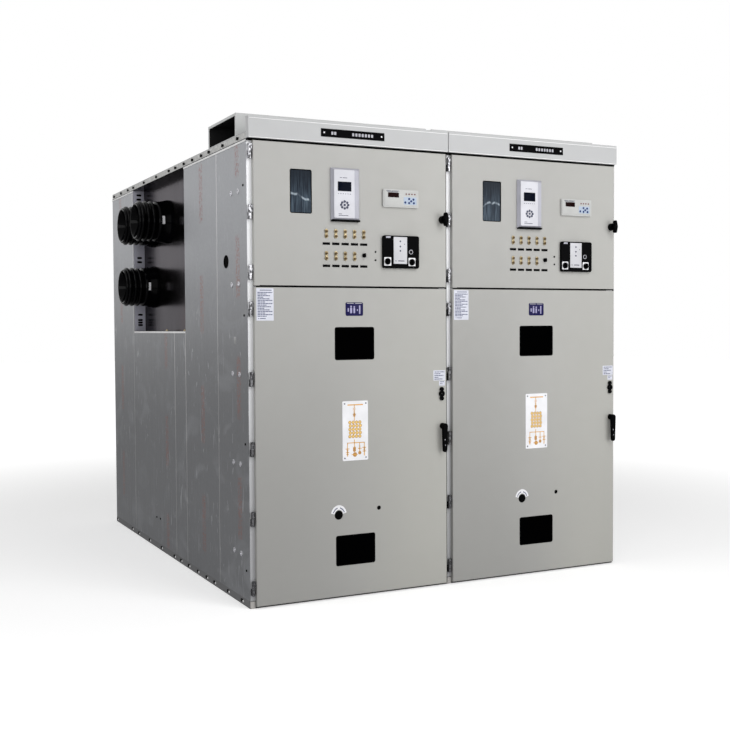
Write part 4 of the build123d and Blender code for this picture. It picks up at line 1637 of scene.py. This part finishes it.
@dataclass
class UpperDoor(Fitting):
    """Window seal of the upper door, with its devices.

    Args:
        window: Left, right, bottom and top of the window.
    """

    window: Box = (234.0, 361.0, 2069.0, 2300.0)

    def build(self) -> None:
        """Model the seal and call the devices."""
        Seal(self.shop, self.cubicle, "upper_seal", self.window, 9.6, ENCLOSURE).build()
        for device in (RelayFace, ControllerFace, IndicatorFace, LinkField):
            device(self.shop, self.cubicle).build()


@dataclass
class DoorFitting(Fitting):
    """A sub-assembly that swings with the lower door."""

    @property
    def body(self) -> str:
        """Body of the lower door."""
        return self.cubicle.named("door")


@dataclass
class MimicPlate(DoorFitting):
    """Printed single-line diagram and screws of the mimic plate.

    Args:
        box: Left, right, bottom and top of the plate.
        y: Depth of its face.
    """

    box: Box = (531.5, 686.5, 747.0, 1070.0)
    y: float = DOOR_Y - 2.0

    def line(self, x0: float, z0: float, x1: float, z1: float, wide: float = 4.2) -> Piece:
        """Print one straight line, upright or level, between two points."""
        half = wide / 2
        low = (min(x0, x1) - half, self.y - 0.2, min(z0, z1) - half)
        high = (max(x0, x1) + half, self.y + 0.05, max(z0, z1) + half)
        return self.block(low, high, half / 2, steps=2)

    def circle(self, x: float, z: float, radius: float) -> Piece:
        """Print one circle: a disc whose middle is pushed in."""
        ring = self.disc((x, self.y, z), radius + 1.5, 0.2, sides=20)
        Bench.recess(ring, Side.FRONT, 3, 0.15)
        return ring

    def feeder(self, stem: float) -> list[Piece]:
        """Print the bus bar and the switch that hangs from it."""
        middle, top = stem + 6, self.box[3]
        parts = [self.line(middle - 44, top - 21, middle + 44, top - 21, 6.0)]
        for low, high in ((38, 22), (66, 48), (106, 82)):
            parts.append(self.line(stem, top - high, stem, top - low))
        for drop, half in ((40, 6), (48, 6), (60, 4), (84, 5)):
            parts.append(self.line(stem - half, top - drop, stem + half, top - drop, 3.4))
        return parts

    def branches(self, stem: float) -> list[Piece]:
        """Print the lower bar with its branches, arresters and earths."""
        middle, foot = stem + 6, self.box[2]
        level = foot + 96
        parts = [self.line(stem, foot + 112, stem, level)]
        parts.append(self.line(middle - 48, level, middle + 54, level))
        for branch, reach in ((-48, 30), (-6, 22), (26, 18), (54, 26)):
            parts.append(self.line(middle + branch, level, middle + branch, level - reach))
        for branch, tops in ((-48, (64, 54, 44, 34)), (54, (68, 58, 48))):
            x = middle + branch
            for half, top in zip((9, 4, 8, 5), tops):
                parts.append(self.line(x - half, foot + top, x + half, foot + top, 4.4))
            parts.append(self.line(x, foot + tops[0], x, foot + 26, 5.0))
        parts.append(self.line(middle + 26, foot + 78, middle + 26, foot + 50, 5.0))
        parts.append(self.line(middle + 17, foot + 64, middle + 35, foot + 64, 4.0))
        parts.append(self.line(stem - 16, foot + 32, stem + 18, foot + 32, 3.4))
        return parts

    def build(self) -> None:
        """Print the diagram and screw the plate on."""
        x0, x1, z0, z1 = self.box
        middle = (x0 + x1) / 2
        stem = middle - 6
        spots = [
            (middle - 33 + column * 20 + (row % 2) * 3, z1 - 116 - row * 19)
            for row in range(5) for column in range(4)
        ]
        circles = [self.circle(stem, z1 - 74, 7.0)] + [self.circle(*spot, 8.0) for spot in spots]
        for away, rise, radius in ((0, 66, 7.5), (0, 55, 7.5), (3, 32, 11), (32, 40, 8)):
            circles.append(self.circle(stem + away, z0 + rise, radius))
        self.put("mimic_outlines", circles, "brown", "white_plate")
        self.put("mimic_fills", self.rounds(spots, self.y, 6.4, 0.1, 16), "yellow", "white_plate")
        self.put("mimic_lines", self.feeder(stem) + self.branches(stem), "orange", "white_plate")
        corners = [(x, z) for x in (x0 + 13, x1 - 13) for z in (z0 + 14, z1 - 14)]
        screws = self.rounds(corners, self.y + 0.1, 4, 1.6, 12)
        self.put("mimic_screws", screws, "grey_print", "zinc")


@dataclass
class LowerDoor(DoorFitting):
    """Everything small on the lower door, with the lever's marks.

    Args:
        windows: Name and box of each window's seal.
        shapes: Middle, width, foot and head of the blocks on the badge.
        crank: Place of the crank hole.
        holes: Place of each hole and the radius of the blind behind it.
        arc: Half angle of the arc label, its inner and outer radius, and its narrowing.
        ticks: Angles of its marks, in degrees.
    """

    windows: tuple[tuple[str, Box], ...] = (
        ("seal_a", (489.0, 729.0, 1292.0, 1470.0)), ("seal_b", (489.0, 729.0, 178.0, 344.0)),
    )
    shapes: tuple[Box, ...] = (
        (571, 7, 1552, 1572), (588, 12, 1544, 1574), (607, 10, 1544, 1572), (640, 8, 1540, 1586),
        (626, 6, 1556, 1566),
    )
    crank: Spot = (507.0, 456.0)
    holes: tuple[tuple[float, float, float], ...] = ((507, 456, 30), (753, 477, 17))
    arc: tuple[float, float, float, float] = (math.radians(78), 29.0, 54.0, 0.88)
    ticks: tuple[float, ...] = (-66, -54, -42, -30, -18, 18, 30, 42, 54, 66)

    def labels(self) -> None:
        """Model the paper label and the small labels with their print."""
        paper = self.plate((40, 137, 1506, 1674), DOOR_Y, 0.5, 2, 0.15)
        self.put("paper_label", paper, "paper", "white_plate")
        small = [
            self.plate(box, DOOR_Y, 0.5, 2, 0.15)
            for box in ((1103, 1181, 1166, 1223), (1140, 1178, 1136, 1163))
        ]
        self.put("small_labels", small, "paper", "white_plate")
        for name, box, pitch, height in (
            ("paper_rows", (47, 130, 1526, 1652), 8.2, 4.6),
            ("small_rows", (1110, 1174, 1172, 1214), 10.0, 4.4),
            ("tag_rows", (1146, 1172, 1142, 1158), 9.0, 3.6),
        ):
            print_rows = self.words(box, DOOR_Y - 0.5, pitch, height)
            self.put(name, print_rows, "label_print", "white_plate")
        ends = self.rows([(60, 126, 1664), (50, 56, 1517), (60, 92, 1517)], DOOR_Y - 0.5, 4)
        self.put("paper_ends", ends, "label_print", "white_plate")

    def badge(self) -> None:
        """Model the blue badge with plain shapes on it."""
        plate, y = self.plate((555, 661, 1530, 1603), DOOR_Y, 1.2, 9, 0.4), DOOR_Y - 1.2
        self.put("badge", plate, "blue_badge", "white_plate")
        band = self.rows([(563, 604, 1597.5), (612, 652, 1597.5)], y, 3.6)
        self.put("badge_band", band, "pale_print", "white_plate")
        shapes = [
            self.plate((x - wide / 2, x + wide / 2, low, high), y, 0.15, 2.5, 0.05)
            for x, wide, low, high in self.shapes
        ]
        shapes += self.rounds([(588, 1580), (607, 1578)], y, 5, 0.15)
        self.put("badge_shapes", shapes, "badge_print", "white_plate")

    def crank_arc(self) -> None:
        """Turn the arc label over the crank hole and print its marks."""
        x, z = self.crank
        half, inner, outer, narrow = self.arc
        centre = self.cubicle.at(x, DOOR_Y, z)
        spoke = Vector((-math.sin(half), 0, math.cos(half))) * MM
        points = [centre + spoke * inner, centre + spoke * outer]
        arc = Bench.turned(points, centre, Side.FRONT.way, 2 * half, 32)
        there, back = Matrix.Translation(centre), Matrix.Translation(-centre)
        arc.data.transform(there @ Matrix.Diagonal((narrow, 1, 1, 1)) @ back)
        self.put("arc_label", Bench.thicken(arc, 0.5), "white", "white_plate")
        spots = []
        for turn in map(math.radians, self.ticks):
            spots.append((x + 34.5 * math.sin(turn), z + 39 * math.cos(turn)))
        marks = self.rounds(spots, DOOR_Y - 0.45, 3.7, 0.3, 8)
        self.put("arc_marks", marks, "label_print", "white_plate")

    def build(self) -> None:
        """Model the seals, labels, mimic, blinds behind the holes and the lever's marks."""
        for name, box in self.windows:
            Seal(self.shop, self.cubicle, name, box, 11.6, self.body).build()
        self.labels()
        self.badge()
        self.crank_arc()
        blinds = [self.disc((x, DOOR_Y + 4.2, z), radius, 1.6, 0.4) for x, z, radius in self.holes]
        self.put("hole_blinds", blinds, "rubber", "black_plastic")
        marks = self.rows([(1153, 1158, 834.0), (1156, 1160, 803.0)], DOOR_Y - 38.0, 6)
        self.put("lever_marks", marks, "pale_print", "black_metal", body=self.named("lever"))
        MimicPlate(self.shop, self.cubicle).build()


@dataclass
class FrontTrim(Fitting):
    """Painted shade strips in the gaps, fascia folds with painted highlights, nameplate marks and
    feet.

    Args:
        gaps: Lowest and highest corner of each dark strip: painted shade in the gaps round the
            doors and under the fascia.
        folds: Foot, head and height of the fascia's folds, coloured bright as painted highlights.
        mark_places: Left edges of the plain blocks on the nameplate.
    """

    gaps: tuple[tuple[Place, Place], ...] = (
        ((1193.5, -12.0, 14.0), (1198.6, -0.2, 2434.0)),
        ((2.0, -21.0, 2434.6), (1192.0, -0.2, 2444.6)),
        ((31.0, -23.0, 1685.2), (1186.0, -0.2, 1687.4)),
        ((60.0, -25.7, 1686.9), (1186.0, -24.9, 1690.0)),
    )
    folds: tuple[tuple[float, float, float], ...] = ((2543.0, 2546.0, 0.7), (2445.2, 2449.0, 0.6))
    mark_places: tuple[float, ...] = (470, 487, 594, 613, 632, 651, 670, 689, 708)

    def build(self) -> None:
        """Model all trim of the front."""
        # Painted shade: dark strips in the door gaps, under the fascia and along the upper door's
        # lower edge.
        strips = [self.block(low, high, rim=0.8) for low, high in self.gaps]
        self.put("painted_shade_gaps", strips, "rubber", "black_plastic")
        # Painted highlight: slim bright lips along the fascia's top and bottom.
        folds = [
            self.block((4, FASCIA_Y - out, low), (1191, FASCIA_Y + 0.2, high), rim=0.4)
            for low, high, out in self.folds
        ]
        self.put("fascia_folds", folds, "bright_edge", "fascia")
        screws = self.rounds([(428, 2498), (772, 2498)], FASCIA_Y - 1.9, 4.6, 1.4)
        self.put("plate_screws", screws, "white", "zinc")
        mark = self.block((0, FASCIA_Y - 2.2, 2489), (12, FASCIA_Y - 1.9, 2505), 2, steps=2)
        marks = self.spread(mark, [(x, 0) for x in self.mark_places])
        self.put("plate_marks", marks, "pale_print", "white_plate")
        cap = self.block((0.5, -9.0, 2.0), (27.0, -0.2, 38.0), 2, 1.5)
        self.put("post_foot", cap, "dust", "frame_light")


@dataclass
class Studio:
    """Camera, lamps, world and floor, in metres.

    Args:
        frame: Side of the square picture, in pixels.
        focus: Focal length in those pixels.
        centre_x: Column of the optical axis.
        sensor: Width of the camera's sensor, in millimetres.
        yaw: Turn of the view to the right of the front, in radians.
        pitch: Its tilt upwards.
        roll: Its roll.
        eye: Place of the lens.
        lamps: Name, place, aim, size and power of each soft lamp.
        world_light: Strength of the world for the object.
        floor_glow: Distances from the middle and the floor's glow at each.
    """

    frame: float = 730.0
    focus: float = 1046.53
    centre_x: float = 320.0
    sensor: float = 36.0
    yaw: float = -0.4376
    pitch: float = -0.0361
    roll: float = -0.0071
    eye: Place = (-3.1585, -6.4686, 1.470)
    lamps: tuple[tuple[str, Place, Place, float, float], ...] = (
        ("key", (0.9, -5.2, 4.6), (0.3, -1.4, 1.7), 2.8, 100.0),
        ("side", (-6.0, -0.5, 5.6), (-1.2, 0.0, 2.2), 3.0, 88.0),
        ("fill", (4.2, -7.5, 1.9), (0.8, -1.4, 0.9), 4.0, 145.0),
        ("left", (-4.6, -6.4, 2.2), (-1.2, -1.4, 1.1), 3.0, 85.0),
    )
    world_light: float = 0.3
    floor_glow: Box = (2.4, 7.0, 0.42, 0.78)

    def camera(self) -> None:
        """Set the camera at the photograph's place."""
        data = bpy.data.cameras.new("camera")
        cam = bpy.data.objects.new("camera", data)
        bpy.context.scene.collection.objects.link(cam)
        level = Vector((-math.sin(self.yaw), math.cos(self.yaw), 0)) * math.cos(self.pitch)
        ahead = level + Vector((0, 0, math.sin(self.pitch)))
        right = Vector((math.cos(self.yaw), math.sin(self.yaw), 0))
        up = right.cross(ahead)
        across = right * math.cos(self.roll) + up * math.sin(self.roll)
        upward = up * math.cos(self.roll) - right * math.sin(self.roll)
        turn = Matrix((across, upward, -ahead)).transposed()
        cam.matrix_world = Matrix.Translation(self.eye) @ turn.to_4x4()
        data.sensor_width = self.sensor
        data.lens = self.focus / self.frame * self.sensor
        data.shift_x = (self.frame / 2 - self.centre_x) / self.frame
        data.clip_end = 100.0
        bpy.context.scene.camera = cam

    def light(self) -> None:
        """Hang the soft lamps."""
        for name, place, aim, size, power in self.lamps:
            data = bpy.data.lights.new(name, "AREA")
            data.shape, data.size, data.energy = "SQUARE", size, power
            lamp = bpy.data.objects.new(name, data)
            bpy.context.scene.collection.objects.link(lamp)
            lamp.location = place
            lamp.rotation_euler = (Vector(aim) - Vector(place)).to_track_quat("-Z", "Y").to_euler()

    def world(self) -> None:
        """Make the world white to the camera and in reflections, and soft light elsewhere."""
        world = bpy.data.worlds.new("studio")
        bpy.context.scene.world = world
        world.use_nodes = True
        nodes = Nodes(world.node_tree)
        rays = nodes.step("LightPath", {}).outputs
        seen = nodes.sum("MAXIMUM", rays["Is Camera Ray"], rays["Is Glossy Ray"])
        seen = nodes.sum("MAXIMUM", seen, rays["Is Transmission Ray"])
        back = nodes.tree.nodes["Background"].inputs
        back["Color"].default_value = (*WHITE, 1.0)
        strength = nodes.span(seen, 0.0, 1.0, self.world_light, 1.0)
        nodes.tree.links.new(strength, back["Strength"])

    def floor(self) -> None:
        """Lay the plain pale floor, white where nothing shades it."""
        Bench.clear()
        bpy.ops.mesh.primitive_plane_add(size=60.0, location=(0, 10, 0))
        plane = Bench.join("studio_floor", [Bench.take()])
        graph = Graph("studio_floor")
        graph.set(colour=(0.86, 0.86, 0.86), roughness=0.9, specular=0.1, glow_colour=WHITE)
        graph.bump(graph.noise(40.0), 0.0002)
        away = graph.step("VectorMath", {0: graph.place}, operation="LENGTH").outputs["Value"]
        seen = graph.step("LightPath", {}).outputs["Is Camera Ray"]
        graph.feed("Emission Strength", graph.times(graph.span(away, *self.floor_glow), seen))
        plane.data.materials.append(graph.material)
        plane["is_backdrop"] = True

    def build(self) -> None:
        """Set up the whole studio."""
        self.camera()
        self.light()
        self.world()
        self.floor()
        bpy.context.scene.view_settings.view_transform = "Standard"


def corners(box: tuple[Vector, Vector]) -> list[list[float]]:
    """Turn a box into plain lists of numbers."""
    return [[float(part) for part in corner] for corner in box]


def main() -> None:
    """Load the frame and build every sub-assembly in order."""
    logging.basicConfig(level=logging.INFO, format="%(name)s: %(message)s")
    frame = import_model()
    cad_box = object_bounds()
    shop = Workshop(Palette().build(), frame["nodes"])
    Studio().build()
    Shell(shop).dress()
    row = [Cubicle(1, -WIDTH), Cubicle(2, 0.0)]
    for cubicle in row:
        for fitting in (BusChamber, UpperDoor, LowerDoor, FrontTrim):
            fitting(shop, cubicle).build()
    SideWall(shop, row[0]).build()
    {"cad": corners(cad_box), "visual": corners(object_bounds())}


if __name__ == "__main__":
    main()
